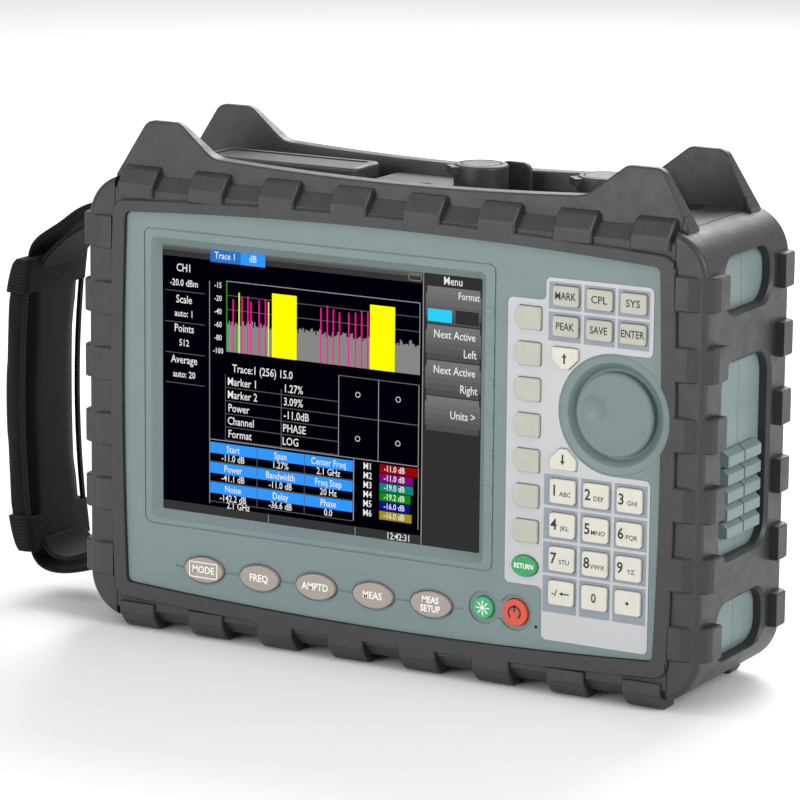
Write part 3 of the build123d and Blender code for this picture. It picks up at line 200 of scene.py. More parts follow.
# ---------------------------------------------------------------- helpers for finishes
class Finish:
    """A Principled material that is built up from procedural layers."""

    def __init__(self, name, base, roughness, metallic=0.0, **sockets):
        self.material = bpy.data.materials.new(name)
        self.material.use_nodes = True
        self.nodes = self.material.node_tree.nodes
        self.links = self.material.node_tree.links
        self.shader = self.nodes["Principled BSDF"]
        self.base = base
        self.shader.inputs["Base Color"].default_value = (*base, 1.0)
        self.shader.inputs["Roughness"].default_value = roughness
        self.shader.inputs["Metallic"].default_value = metallic
        for key, value in sockets.items():
            self.shader.inputs[key.replace("_", " ")].default_value = value
        self.coords = None
        self.height = None

    def add(self, kind, **values):
        node = self.nodes.new(kind)
        for key, value in values.items():
            setattr(node, key, value)
        return node

    def link(self, source, target):
        self.links.new(source, target)

    def place(self):
        if self.coords is None:
            self.coords = self.add("ShaderNodeTexCoord").outputs["Object"]
        return self.coords

    def split(self, vector):
        """The X, Y and Z of a vector socket."""
        node = self.add("ShaderNodeSeparateXYZ")
        self.link(vector, node.inputs[0])
        return [node.outputs[axis] for axis in "XYZ"]

    def run(self):
        """Places across and along a strap piece, from its own UV map."""
        return self.split(self.add("ShaderNodeUVMap", uv_map="run").outputs["UV"])[:2]

    def noise(self, size, detail=3.0, roughness=0.55):
        """Noise whose grains are about size metres across."""
        texture = self.add("ShaderNodeTexNoise")
        texture.inputs["Scale"].default_value = 1.0 / size
        texture.inputs["Detail"].default_value = detail
        texture.inputs["Roughness"].default_value = roughness
        self.link(self.place(), texture.inputs["Vector"])
        return texture.outputs["Fac"]

    def range(self, source, low, high, start=0.3, end=0.7):
        node = self.add("ShaderNodeMapRange")
        node.inputs["From Min"].default_value = start
        node.inputs["From Max"].default_value = end
        node.inputs["To Min"].default_value = low
        node.inputs["To Max"].default_value = high
        self.link(source, node.inputs["Value"])
        return node.outputs["Result"]

    def math(self, operation, first, second=None, clamp=False):
        node = self.add("ShaderNodeMath", operation=operation, use_clamp=clamp)
        for socket, value in zip(node.inputs, (first, second)):
            if value is None:
                continue
            if isinstance(value, (int, float)):
                socket.default_value = value
            else:
                self.link(value, socket)
        return node.outputs["Value"]

    def ribs(self, source, pitch):
        """Rises and falls between 1 and -1 once in each pitch."""
        return self.math("SINE", self.math("MULTIPLY", source, 2 * math.pi / pitch))

    def upwards(self, wave):
        """A wave between 0 and 1."""
        return self.range(wave, 0.0, 1.0, -1.0, 1.0)

    def blend(self, factor, first, second):
        """Mixes two colours, each a tuple or a socket."""
        node = self.add("ShaderNodeMix", data_type="RGBA")
        self.link(factor, node.inputs["Factor"])
        for name, value in (("A", first), ("B", second)):
            socket = [s for s in node.inputs if s.name == name and s.type == "RGBA"][0]
            if isinstance(value, tuple):
                socket.default_value = (*value, 1.0)
            else:
                self.link(value, socket)
        return [s for s in node.outputs if s.type == "RGBA"][0]

    def tint(self, socket):
        self.link(socket, self.shader.inputs["Base Color"])

    def mottle(self, size, spread):
        """Slow variation of the colour, darker and lighter than the base."""
        patches = self.range(self.noise(size), 0.0, 1.0)
        self.tint(self.blend(patches, shade(self.base, 1.0 - spread), shade(self.base, 1.0 + spread)))

    def polish(self, size, low, high):
        """Roughness that wanders between two values."""
        self.link(self.range(self.noise(size, detail=4.0), low, high), self.shader.inputs["Roughness"])

    def grain(self, source, depth):
        """Adds a bump of the given depth in metres."""
        node = self.add("ShaderNodeBump")
        node.inputs["Strength"].default_value = 1.0
        node.inputs["Distance"].default_value = depth
        self.link(source, node.inputs["Height"])
        if self.height is not None:
            self.link(self.height, node.inputs["Normal"])
        self.height = node.outputs["Normal"]
        self.link(self.height, self.shader.inputs["Normal"])


def shade(base, factor):
    """A colour made darker or lighter."""
    return tuple(min(1.0, c * factor) for c in base)


def colours():
    return bpy.context.scene.analyzer_colours


def sizes():
    return bpy.context.scene.analyzer_sizes


def as_tuple(value):
    return tuple(float(c) for c in value)


def paint(nodes, material):
    for name in nodes:
        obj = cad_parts[name]
        obj.data.materials.clear()
        obj.data.materials.append(material)


def bumper_rubber(name="bumper rubber", base=None):
    """Sand-blasted rubber moulding with rubbed patches, with painted shade in the grain's pits and
    painted highlight on its raised grains.
    """
    base = base or as_tuple(colours().bumper)
    finish = Finish(name, base, 0.5, Specular_IOR_Level=0.5)
    # Painted shade and highlight: the tint follows the same noise as the grain bump, darker in the
    # pits and lighter on the raised grains.
    grain_light_shade = finish.range(finish.noise(0.9 * MM, detail=3.0, roughness=0.7), 0.0, 1.0)
    patch = finish.range(finish.noise(28 * MM), 0.0, 1.0)
    tone = finish.blend(grain_light_shade, shade(base, 0.80), shade(base, 1.25))
    finish.tint(finish.blend(finish.math("MULTIPLY", patch, 0.35), tone, shade(base, 1.18)))
    finish.polish(9 * MM, 0.36, 0.50)
    finish.grain(finish.noise(0.9 * MM, detail=3.0, roughness=0.7), 0.14 * MM)
    return finish.material


def case_plastic(name="case plastic", base=None):
    """Fine-grained painted plastic."""
    base = base or as_tuple(colours().case)
    finish = Finish(name, base, 0.5, Specular_IOR_Level=0.45)
    finish.mottle(45 * MM, 0.035)
    finish.polish(14 * MM, 0.42, 0.54)
    finish.grain(finish.noise(0.42 * MM, detail=2.0), 0.028 * MM)
    return finish.material


def key_rubber(name, base, sheen=0.42):
    """Moulded key: satin face with a faint grain and handling marks."""
    finish = Finish(name, base, sheen, Specular_IOR_Level=0.45)
    finish.mottle(7 * MM, 0.03)
    finish.polish(4 * MM, sheen - 0.06, sheen + 0.08)
    finish.grain(finish.noise(0.5 * MM, detail=1.0), 0.010 * MM)
    return finish.material


def plain_metal(name, base, roughness, size=0.4 * MM):
    finish = Finish(name, base, roughness, metallic=1.0)
    finish.mottle(6 * MM, 0.06)
    finish.polish(3 * MM, roughness - 0.08, roughness + 0.08)
    finish.grain(finish.noise(size, detail=2.0), 0.008 * MM)
    return finish.material


# ---------------------------------------------------------------- finishes of the CAD nodes
class ANALYZER_OT_case_finish(bpy.types.Operator):
    """Case halves, battery door and stand"""
    bl_idname = "analyzer.case_finish"
    bl_label = "Case finish"

    def execute(self, context):
        paint(["front_case", "rear_case", "battery_door"], case_plastic())
        paint(["tilt_stand"], case_plastic("stand plastic", shade(colours().case, 0.86)))
        return {"FINISHED"}


class ANALYZER_OT_rubber_finish(bpy.types.Operator):
    """Bumpers, port caps, port cover and connector deck"""
    bl_idname = "analyzer.rubber_finish"
    bl_label = "Rubber finish"

    def execute(self, context):
        paint(["top_bumper", "bottom_bumper", "left_bumper", "right_bumper"], bumper_rubber())
        deck = as_tuple(colours().deck)
        paint(["connector_panel"], case_plastic("deck plastic", deck))
        paint(["port_cover"], bumper_rubber("cover rubber", deck))
        paint(["port_cap_1", "port_cap_2"], bumper_rubber("cap rubber", shade(deck, 0.75)))
        return {"FINISHED"}


class ANALYZER_OT_key_finish(bpy.types.Operator):
    """Moulded colours of the knob and of every key"""
    bl_idname = "analyzer.key_finish"
    bl_label = "Key finish"

    def execute(self, context):
        tints = colours()
        paint(["tuning_knob"], key_rubber("knob rubber", as_tuple(tints.knob), 0.46))
        soft = [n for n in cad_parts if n.startswith("soft_key")] + list(FUNCTION_LEGENDS)
        numbers = [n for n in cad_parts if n.startswith(("number_key", "arrow_"))]
        menus = [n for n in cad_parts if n.startswith("menu_key")]
        paint(soft, key_rubber("soft key rubber", as_tuple(tints.soft_key)))
        paint(numbers, key_rubber("number key rubber", as_tuple(tints.number_key)))
        paint(menus, key_rubber("menu key rubber", as_tuple(tints.menu_key), 0.36))
        for node in ("return_key", "backlight_key", "power_key"):
            base = as_tuple(getattr(tints, node))
            paint([node], key_rubber(node.replace("_", " ") + " rubber", base, 0.34))
        return {"FINISHED"}


class ANALYZER_OT_overlay_print(bpy.types.Operator):
    """Silver film round the keys, printed with cells behind two groups of keys"""
    bl_idname = "analyzer.overlay_print"
    bl_label = "Overlay print"

    def execute(self, context):
        tints, size = colours(), sizes()
        film = as_tuple(tints.overlay)
        finish = Finish("printed film", film, 0.38, Specular_IOR_Level=0.5)
        x, _, z = finish.split(finish.place())
        mask = None
        for (left, right, low, high), top_z, pitch_z, rows in (NUMBER_GROUP, FUNCTION_GROUP):
            across = self.cells(finish, x, (left, right), FIRST_CELL_X, size.pitch_x, 3)
            up = self.cells(finish, z, (low, high), top_z - rows * pitch_z, pitch_z, rows)
            cell = finish.math("MULTIPLY", across, up)
            mask = cell if mask is None else finish.math("MAXIMUM", mask, cell)
        flecks = finish.range(finish.noise(0.5 * MM, detail=1.0), 0.0, 1.0)
        silver = finish.blend(flecks, shade(film, 0.97), film)
        blue = as_tuple(tints.cell)
        printed = finish.blend(flecks, shade(blue, 0.97), blue)
        finish.tint(finish.blend(mask, silver, printed))
        finish.polish(6 * MM, 0.33, 0.43)
        finish.grain(finish.noise(0.3 * MM, detail=1.0), 0.006 * MM)
        paint(["keypad_overlay"], finish.material)
        return {"FINISHED"}

    def cells(self, finish, axis, span, start, pitch, count):
        """1 inside a block and 0 in the light lines between its cells, along one axis."""
        along = finish.math("DIVIDE", finish.math("SUBTRACT", axis, start), pitch)
        middle = finish.math("ABSOLUTE", finish.math("SUBTRACT", finish.math("FRACT", along), 0.5))
        line = finish.math("GREATER_THAN", middle, 0.5 - sizes().cell_gap / pitch / 2)
        line = finish.math("MULTIPLY", line, finish.math("GREATER_THAN", along, 0.5))
        line = finish.math("MULTIPLY", line, finish.math("LESS_THAN", along, count - 0.5))
        above = finish.math("GREATER_THAN", axis, span[0])
        below = finish.math("LESS_THAN", axis, span[1])
        return finish.math("SUBTRACT", finish.math("MULTIPLY", above, below), line, clamp=True)


class ANALYZER_OT_inner_finish(bpy.types.Operator):
    """Boards, modules, battery, screws and sockets"""
    bl_idname = "analyzer.inner_finish"
    bl_label = "Inner parts' finish"

    def execute(self, context):
        paint(["rf_ports"], plain_metal("port metal", (0.50, 0.49, 0.46), 0.28))
        paint(["case_screws"], plain_metal("screw metal", (0.20, 0.20, 0.21), 0.35))
        paint(["rf_module"], plain_metal("shield metal", (0.56, 0.56, 0.58), 0.45, 0.2 * MM))
        board = Finish("solder mask", (0.012, 0.10, 0.045), 0.35)
        board.mottle(5 * MM, 0.25)
        board.grain(board.noise(1.2 * MM, detail=3.0), 0.03 * MM)
        paint(["main_board", "keypad_board"], board.material)
        paint(["display_module", "battery_pack"],
              case_plastic("dark moulding", (0.02, 0.02, 0.022)))
        paint(["key_mat"], key_rubber("mat rubber", (0.22, 0.22, 0.22)))
        glass = Finish("window glass", (0.02, 0.022, 0.025), 0.08, Specular_IOR_Level=0.5)
        glass.polish(30 * MM, 0.05, 0.10)
        paint(["display_window"], glass.material)
        return {"FINISHED"}


# ---------------------------------------------------------------- legends
# printed blocks of cells: left, right, low and high edges, top z, row pitch and rows (metres)
FIRST_CELL_X = 84.75 * MM
NUMBER_GROUP = ((83.6 * MM, 135.7 * MM, 39.2 * MM, 103.7 * MM), 104.4 * MM, 15.82 * MM, 4)
FUNCTION_GROUP = ((84.5 * MM, 135.0 * MM, 165.2 * MM, 192.3 * MM), 193.0 * MM, 13.85 * MM, 2)

NUMBER_LEGENDS = {
    "number_key_1": ("1", "ABC"), "number_key_2": ("2", "DEF"), "number_key_3": ("3", "GHI"),
    "number_key_4": ("4", "JKL"), "number_key_5": ("5", "MNO"), "number_key_6": ("6", "PQR"),
    "number_key_7": ("7", "STU"), "number_key_8": ("8", "VWX"), "number_key_9": ("9", "YZ"),
}
FUNCTION_LEGENDS = {
    "mark_key": "MARK", "couple_key": "CPL", "system_key": "SYS",
    "peak_key": "PEAK", "save_key": "SAVE", "enter_key": "ENTER",
}
MENU_LEGENDS = {
    "menu_key_1": "MODE", "menu_key_2": "FREQ", "menu_key_3": "AMPTD", "menu_key_4": "MEAS",
}
WORD_SIZE = 4.9 * MM            # letter size of the function and menu legends


def ink(name, base, roughness=0.5):
    finish = Finish(name, base, roughness)
    finish.mottle(1.5 * MM, 0.06)
    return finish.material


def key_face(node):
    """Centre x, face y and centre z of a key."""
    low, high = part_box(node)
    return (low.x + high.x) / 2, low.y - sizes().legend_lift, (low.z + high.z) / 2


def word(text, name, size, x, y, z, weight=0.0, squeeze=1.0):
    """A flat word facing forwards, made into a mesh."""
    nothing_selected()
    bpy.ops.object.text_add(location=(x, y, z), rotation=(math.pi / 2, 0, 0))
    obj = named(name)
    obj.data.body = text
    obj.data.size = size
    obj.data.offset = weight
    obj.data.extrude = PRINT_DEPTH
    obj.data.align_x = "CENTER"
    obj.data.align_y = "CENTER"
    obj.data.resolution_u = 2
    obj.scale = (squeeze, 1.0, 1.0)
    bpy.ops.object.convert(target="MESH")
    return settle(bpy.context.object)


def bar(name, x0, x1, z0, z1, y):
    """A flat printed bar between two x and two z values."""
    nothing_selected()
    bpy.ops.mesh.primitive_cube_add(size=1.0, location=((x0 + x1) / 2, y, (z0 + z1) / 2))
    obj = named(name)
    obj.scale = (x1 - x0, 2 * PRINT_DEPTH, z1 - z0)
    return settle(obj)


def disc(name, x, y, z, radius, corners=24, turn=0.0):
    """A printed disc, or with three corners a triangle that points up before it is turned."""
    nothing_selected()
    bpy.ops.mesh.primitive_cylinder_add(vertices=corners, radius=radius, depth=2 * PRINT_DEPTH,
                                        location=(x, y, z), rotation=(math.pi / 2, turn, 0))
    return settle(named(name))


def arrow_parts(x, y, z, points_up):
    """The shaft and the triangular head of a printed arrow."""
    height, width = 4.8 * MM, 0.85 * MM
    s = 1 if points_up else -1
    tail, neck = z - s * height / 2, z + s * 0.12 * height
    return [bar("shaft", x - width / 2, x + width / 2, min(tail, neck), max(tail, neck), y),
            disc("head", x, y, z + s * 0.25 * height, 1.35 * MM, 3, 0.0 if points_up else math.pi)]


def ring_arc(name, x, y, z, radius, width, start, end, steps=28):
    """A printed arc drawn by spinning a short bar about the centre."""
    nothing_selected()
    bpy.ops.mesh.primitive_plane_add(size=1.0, location=(0, 0, 0))
    obj = named(name)
    obj.scale = (width, 2 * PRINT_DEPTH, 1.0)
    settle(obj)
    obj.data.transform(Matrix.Translation((x + radius, y, z)))
    open_mesh(obj)
    bpy.ops.transform.rotate(value=-start, orient_axis="Y", center_override=(x, y, z))
    bpy.ops.mesh.spin(steps=steps, angle=end - start, center=(x, y, z), axis=(0, -1, 0))
    bpy.ops.mesh.select_all(action="SELECT")
    bpy.ops.mesh.remove_doubles(threshold=WELD)
    bpy.ops.mesh.normals_make_consistent(inside=False)
    close_mesh()
    return obj


def legend(node, parts, material):
    """Joins the printed marks of one key into a legend that rides on it."""
    give(joined(parts, node + "_legend"), material, node)


class ANALYZER_OT_legends(bpy.types.Operator):
    """Printed words, numbers and signs on the keys"""
    bl_idname = "analyzer.legends"
    bl_label = "Key legends"

    def execute(self, context):
        dark = ink("dark ink", as_tuple(colours().ink))
        white = ink("white ink", (0.85, 0.85, 0.83))
        for node, (digit, letters) in NUMBER_LEGENDS.items():
            x, y, z = key_face(node)
            parts = [word(digit, "digit", 7.2 * MM, x - 3.9 * MM, y, z + 0.2 * MM, 0.13 * MM, 0.9),
                     word(letters, "letters", 3.1 * MM, x + 1.6 * MM, y, z - 1.1 * MM, 0.02 * MM)]
            legend(node, parts, dark)
        zero = word("0", "digit", 6.2 * MM, *key_face("number_key_0"), 0.10 * MM, 0.85)
        legend("number_key_0", [zero], dark)
        point = disc("point", *key_face("number_key_point"), 0.8 * MM)
        legend("number_key_point", [point], dark)
        legend("number_key_sign", self.sign(*key_face("number_key_sign")), dark)
        for node, text in FUNCTION_LEGENDS.items():
            squeeze = 0.80 if len(text) > 3 else 0.98
            mark = word(text, "function", WORD_SIZE, *key_face(node), 0.06 * MM, squeeze)
            legend(node, [mark], dark)
        for node, text in MENU_LEGENDS.items():
            x, y, z = key_face(node)
            parts = [word(text, "menu_word", WORD_SIZE, x, y, z, 0.07 * MM, 0.88)]
            if node == "menu_key_1":
                parts += self.frame(x, y, z, 7.6 * MM, 3.6 * MM, 0.45 * MM)
            legend(node, parts, white)
        x, y, z = key_face("menu_key_5")
        lines = [word(text, "menu_line", 4.4 * MM, x, y, z + rise, 0.10 * MM, 0.85)
                 for text, rise in (("MEAS", 2.1 * MM), ("SETUP", -2.1 * MM))]
        legend("menu_key_5", lines, white)
        back = word("RETURN", "return_word", 3.3 * MM, *key_face("return_key"), 0.06 * MM, 0.8)
        legend("return_key", [back], white)
        for node, up in (("arrow_up_key", True), ("arrow_down_key", False)):
            legend(node, arrow_parts(*key_face(node), up), dark)
        legend("power_key", self.power(*key_face("power_key")), dark)
        legend("backlight_key", self.sun(*key_face("backlight_key")), white)
        return {"FINISHED"}

    def sign(self, x, y, z):
        """Minus, stroke and an arrow that points left."""
        return [word("-/", "sign", 4.8 * MM, x - 3.1 * MM, y, z, 0.06 * MM),
                bar("stroke", x + 0.6 * MM, x + 4.4 * MM, z - 0.3 * MM, z + 0.3 * MM, y),
                disc("barb", x + 0.5 * MM, y, z, 1.1 * MM, 3, -math.pi / 2)]

    def frame(self, x, y, z, half_w, half_h, width):
        """Four printed bars round a word."""
        half = width / 2
        bars = []
        for s in (-1, 1):
            bars += [bar("frame_bar", x - half_w, x + half_w, z + s * half_h - half,
                         z + s * half_h + half, y),
                     bar("frame_bar", x + s * half_w - half, x + s * half_w + half,
                         z - half_h, z + half_h, y)]
        return bars

    def power(self, x, y, z):
        """An open ring with a stroke in its gap."""
        half = 0.48 * MM
        return [ring_arc("arc", x, y, z, 3.0 * MM, 0.95 * MM, math.radians(130), math.radians(410)),
                bar("stroke", x - half, x + half, z + 0.3 * MM, z + 3.9 * MM, y)]

    def sun(self, x, y, z):
        """A disc with eight rays."""
        half, rays = 0.28 * MM, 8
        parts = [disc("sun_disc", x, y, z, 1.05 * MM)]
        for i in range(rays):
            ray = bar("ray", x - half, x + half, z + 1.5 * MM, z + 3.5 * MM, y)
            open_mesh(ray)
            bpy.ops.transform.rotate(value=i * 2 * math.pi / rays, orient_axis="Y",
                                     center_override=(x, y, z))
            close_mesh()
            parts.append(ray)
        return parts


# ---------------------------------------------------------------- screen picture
PICTURE_INSET = 2.0 * MM        # from the window's edge to the picture's


class Picture:
    """Flat plates laid over the window, placed by fractions of the picture."""

    def __init__(self, name):
        self.left = window_low.x + PICTURE_INSET
        self.right = window_high.x - PICTURE_INSET
        self.top = window_high.z - PICTURE_INSET
        self.bottom = window_low.z + PICTURE_INSET
        self.front = window_low.y - PRINT_DEPTH
        self.tones = {}
        nothing_selected()
        bpy.ops.mesh.primitive_plane_add(size=1.0, location=(0, 0, 0))
        self.obj = named(name)
        open_mesh(self.obj)
        bpy.ops.mesh.delete(type="VERT")

    def x(self, u):
        return self.left + u * (self.right - self.left)

    def z(self, v):
        return self.top - v * (self.top - self.bottom)

    def tone(self, key, material):
        self.tones[key] = len(self.tones)
        self.obj.data.materials.append(material)

    def plate(self, tone, u0, u1, v0, v1, layer):
        """A rectangle: fractions from the left and from the top, and its layer."""
        place = Vector(((self.x(u0) + self.x(u1)) / 2,
                        self.front - layer * sizes().picture_lift,
                        (self.z(v0) + self.z(v1)) / 2))
        bpy.ops.mesh.primitive_plane_add(size=1.0, location=place,
                                         rotation=(math.pi / 2, 0, 0))
        bpy.ops.transform.resize(value=(self.x(u1) - self.x(u0), 1.0, self.z(v0) - self.z(v1)),
                                 center_override=place)
        self.obj.active_material_index = self.tones[tone]
        bpy.ops.object.material_slot_assign()

    def line(self, tone, u0, v0, u1, v1, layer, width=0.0022):
        """A thin line along one axis, its width a share of the picture's width."""
        half_u, half_v = width * 0.5, width * 0.67
        if abs(u1 - u0) > abs(v1 - v0):
            self.plate(tone, u0, u1, v0 - half_v, v0 + half_v, layer)
        else:
            self.plate(tone, u0 - half_u, u0 + half_u, v0, v1, layer)


def glow(name, base, strength=0.92):
    """A lit patch of the picture under smooth glass."""
    finish = Finish(name, tuple(c * 0.1 for c in base), 0.3, Specular_IOR_Level=0.0)
    finish.shader.inputs["Emission Color"].default_value = (*base, 1.0)
    finish.shader.inputs["Emission Strength"].default_value = strength
    finish.polish(25 * MM, 0.16, 0.24)
    return finish.material


PICTURE_TONES = {
    "black": (0.0002, 0.0002, 0.0028), "bar": (0.035, 0.035, 0.036), "grey": (0.23, 0.23, 0.23),
    "line": (0.30, 0.30, 0.31), "faint": (0.09, 0.09, 0.095), "blue": (0.03, 0.30, 0.95),
    "tab": (0.02, 0.17, 0.55), "yellow": (1.0, 1.0, 0.0), "magenta": (0.78, 0.01, 0.27),
    "green": (0.04, 0.33, 0.03), "lime": (0.7, 0.85, 0.1), "button": (0.082, 0.082, 0.082),
    "light": (0.13, 0.13, 0.13), "panel": (0.030, 0.030, 0.030), "cyan": (0.02, 0.62, 0.95),
    "red": (0.30, 0.002, 0.002), "purple": (0.20, 0.003, 0.20), "teal": (0.005, 0.22, 0.19),
    "leaf": (0.003, 0.25, 0.006), "navy": (0.003, 0.006, 0.26), "olive": (0.33, 0.28, 0.005),
}

# Edges of the picture's fields, as shares of its width from the left and of its height from the top
MENU_LEFT = 0.822
FIELDS_RIGHT = 0.812
LEFT_COLUMN_RIGHT = 0.152
BAR_BOTTOM = 0.040
FOOT_TOP = 0.966
GRAPH = (0.206, 0.112, 0.375)            # left, top and bottom
READINGS = (0.203, 0.382, 0.563, 0.460, 0.708)      # left, middle, right, top and bottom
ROWS = (0.722, 0.798, 0.874)             # tops of the lower table's blue rows
ROW_HEIGHT = 0.041
TABLE_RIGHT = 0.608
MARKER_TOP, MARKER_PITCH = 0.7205, 0.0348
MENU_BUTTONS = ((0.045, 0.180), (0.184, 0.310), (0.314, 0.440), (0.444, 0.571))
SHADES = 6                               # strips of grey that shade a menu button
SMALL, PLAIN = 4.6 * MM, 5.4 * MM        # letter sizes


class ANALYZER_OT_screen_picture(bpy.types.Operator):
    """The measurement picture that shows on the screen"""
    bl_idname = "analyzer.screen_picture"
    bl_label = "Screen picture"

    def execute(self, context):
        picture = Picture("screen_picture")
        self.picture = picture
        for key, tone in PICTURE_TONES.items():
            picture.tone(key, glow("picture " + key, tone))
        plate, line = picture.plate, picture.line
        plate("black", 0.0, 1.0, 0.0, 1.0, 0)
        self.frame_bars(plate, line)
        self.graph(plate, line)
        self.tables(plate, line)
        self.menu(plate, line)
        bpy.ops.object.mode_set(mode="OBJECT")
        give(picture.obj, None)
        self.words(picture)
        return {"FINISHED"}

    def frame_bars(self, plate, line):
        plate("bar", 0.0, MENU_LEFT, 0.0, BAR_BOTTOM, 1)
        strip = 0.006
        for i, tone in enumerate(("light", "button", "button")):
            plate(tone, 0.0, MENU_LEFT, i * strip, (i + 1) * strip, 2)
        plate("tab", 0.155, 0.252, 0.0, 0.046, 3)
        plate("blue", 0.252, 0.330, 0.0, 0.046, 3)
        for v in (0.010, 0.032):
            line("grey", 0.779, v, 0.814, v, 3)
        for u in (0.777, 0.816):
            line("grey", u, 0.012, u, 0.030, 3)
        plate("bar", 0.0, MENU_LEFT, FOOT_TOP, 1.0, 1)
        for u in (0.342, 0.617):
            line("line", u, 0.968, u, 0.999, 2)
        line("line", LEFT_COLUMN_RIGHT, 0.118, LEFT_COLUMN_RIGHT, 0.955, 1)
        for v in (0.169, 0.286, 0.402, 0.516):
            line("faint", 0.008, v, 0.136, v, 1)

    def graph(self, plate, line):
        (left, top, floor), right = GRAPH, FIELDS_RIGHT
        divisions = 5
        for i in range(divisions):
            v = top + i * (floor - top) / divisions
            line("line" if i == 0 else "faint", left, v, right, v, 1)
        line("line", right, top, right, floor, 1)
        draw = random.Random(7)
        count = 150
        width = (right - left) / count
        for i in range(count):
            u = left + i * width
            rise = 0.105 + draw.uniform(-0.006, 0.020)
            plate("grey", u, u + width, floor - rise, floor, 2)
        for u in (0.226, 0.254, 0.273, 0.283, 0.309, 0.329,
                  0.504, 0.524, 0.543, 0.562, 0.591, 0.612, 0.631, 0.650):
            plate("magenta", u, u + 0.0045, 0.160 + draw.uniform(0, 0.02), floor, 3)
        for tone, u0, u1, v, layer in (
                ("green", left, left + 0.003, top, 3), ("green", 0.238, 0.242, 0.27, 3),
                ("lime", 0.245, 0.2495, 0.150, 3), ("lime", 0.339, 0.343, 0.172, 3),
                ("yellow", 0.352, 0.430, 0.138, 4), ("yellow", 0.659, 0.736, 0.138, 4)):
            plate(tone, u0, u1, v, floor, layer)

    def tables(self, plate, line):
        left, mid, right, top, end = READINGS
        count = 5
        for i in range(1, count + 1):
            v = top + i * (end - top) / count
            line("faint", left, v, right, v, 1)
        line("faint", left, top, left, end, 1)
        line("light", mid, top + 0.03, mid, end + 0.01, 1)
        for u in (right, 0.687, 0.811):
            line("line", u, 0.412, u, 0.710, 1)
        for v in (0.412, 0.560):
            line("light", right, v, 0.811, v, 1)
        line("line", LEFT_COLUMN_RIGHT, 0.712, 0.811, 0.712, 1)
        for v in ROWS:
            plate("blue", 0.154, TABLE_RIGHT, v, v + ROW_HEIGHT, 1)
            line("faint", 0.154, v + 0.073, TABLE_RIGHT, v + 0.073, 1)
        for u in (0.305, 0.456):
            line("faint", u, ROWS[0], u, 0.945, 2)
        line("line", 0.611, 0.716, 0.611, 0.945, 1, 0.003)
        ends = {"red": 0.808, "purple": 0.796, "teal": 0.796, "leaf": 0.788, "navy": 0.786,
                "olive": 0.792}
        for i, (tone, end) in enumerate(ends.items()):
            v = MARKER_TOP + i * MARKER_PITCH
            plate(tone, 0.692, end, v, v + 0.0315, 1)
        line("line", FIELDS_RIGHT, 0.716, FIELDS_RIGHT, 0.945, 1)

    def menu(self, plate, line):
        plate("panel", 0.825, 1.0, 0.0, 1.0, 1)
        line("line", MENU_LEFT, 0.0, MENU_LEFT, 1.0, 1, 0.003)
        for i in range(SHADES):
            grey = 0.17 - 0.019 * i
            self.picture.tone("shade %d" % i, glow("picture button %d" % i, (grey,) * 3))
        for v0, v1 in MENU_BUTTONS:
            step = (v1 - v0) / SHADES
            for i in range(SHADES):
                inset = 0.004 if i in (0, SHADES - 1) else 0.0
                plate("shade %d" % i, 0.830 + inset, 0.998 - inset, v0 + i * step,
                      v0 + (i + 1) * step, 2)
        plate("cyan", 0.836, 0.909, 0.127, 0.172, 3)
        plate("panel", 0.920, 0.990, 0.124, 0.172, 3)

    def words(self, picture):
        """Short generic readings, as separate flat words."""
        y = picture.front - 5 * sizes().picture_lift
        plain = (("CH1", 0.070, 0.082), ("Scale", 0.070, 0.200), ("Points", 0.070, 0.309),
                 ("Average", 0.070, 0.427), ("Trace:1 (256) 15.0", 0.322, 0.436),
                 ("Marker 1", 0.258, 0.487), ("1.27%", 0.420, 0.487),
                 ("Marker 2", 0.258, 0.536), ("3.09%", 0.420, 0.536),
                 ("Power", 0.246, 0.586), ("-11.0dB", 0.430, 0.586),
                 ("Channel", 0.253, 0.635), ("PHASE", 0.424, 0.635),
                 ("Format", 0.250, 0.684), ("LOG", 0.412, 0.684), ("Menu", 0.912, 0.022),
                 ("Next Active", 0.918, 0.217), ("Left", 0.965, 0.280),
                 ("Next Active", 0.918, 0.347), ("Right", 0.962, 0.410), ("Units >", 0.945, 0.508))
        small = (("-20.0 dBm", 0.070, 0.138), ("auto: 1", 0.070, 0.253), ("512", 0.070, 0.363),
                 ("auto: 20", 0.070, 0.482), ("Trace 1", 0.203, 0.021), ("dB", 0.291, 0.021),
                 ("Format", 0.960, 0.072), ("12:42:31", 0.752, 0.984), ("2.1 GHz", 0.245, 0.956))
        items = [(*row, PLAIN) for row in plain] + [(*row, SMALL) for row in small]
        table = (("Start", "Span", "Center Freq"), ("-11.0 dB", "1.27%", "2.1 GHz"),
                 ("Power", "Bandwidth", "Freq Step"), ("-41.1 dB", "-11.0 dB", "20 Hz"),
                 ("Noise", "Delay", "Phase"), ("-142.2 dB", "-36.6 dB", "0.0"))
        for i, row in enumerate(table):
            v = ROWS[i // 2] + (0.021 if i % 2 == 0 else 0.056)
            items += [(text, u, v, SMALL) for text, u in zip(row, (0.228, 0.380, 0.532))]
        for i, db in enumerate((15, 20, 40, 60, 80, 100)):
            items.append(("-%d" % db, 0.180, 0.131 + i * 0.049, 3.8 * MM))
        for i, db in enumerate((11.0, 11.0, 19.0, 19.2, 16.0, 16.0)):
            v = 0.736 + i * MARKER_PITCH
            items += [("M%d" % (i + 1), 0.655, v, SMALL), ("-%.1f dB" % db, 0.738, v, 4.0 * MM)]
        white = glow("picture text", (0.78, 0.78, 0.76))
        words = [word(text, "reading", size, picture.x(u), y, picture.z(v), 0.03 * MM, 0.82)
                 for text, u, v, size in items]
        for u, v in ((0.623, 0.475), (0.748, 0.474), (0.623, 0.638), (0.748, 0.636)):
            words.append(ring_arc("target", picture.x(u), y, picture.z(v), 1.2 * MM, 0.28 * MM,
                                  0.0, 2 * math.pi, 16))
        give(joined(words, "screen_readings"), white)


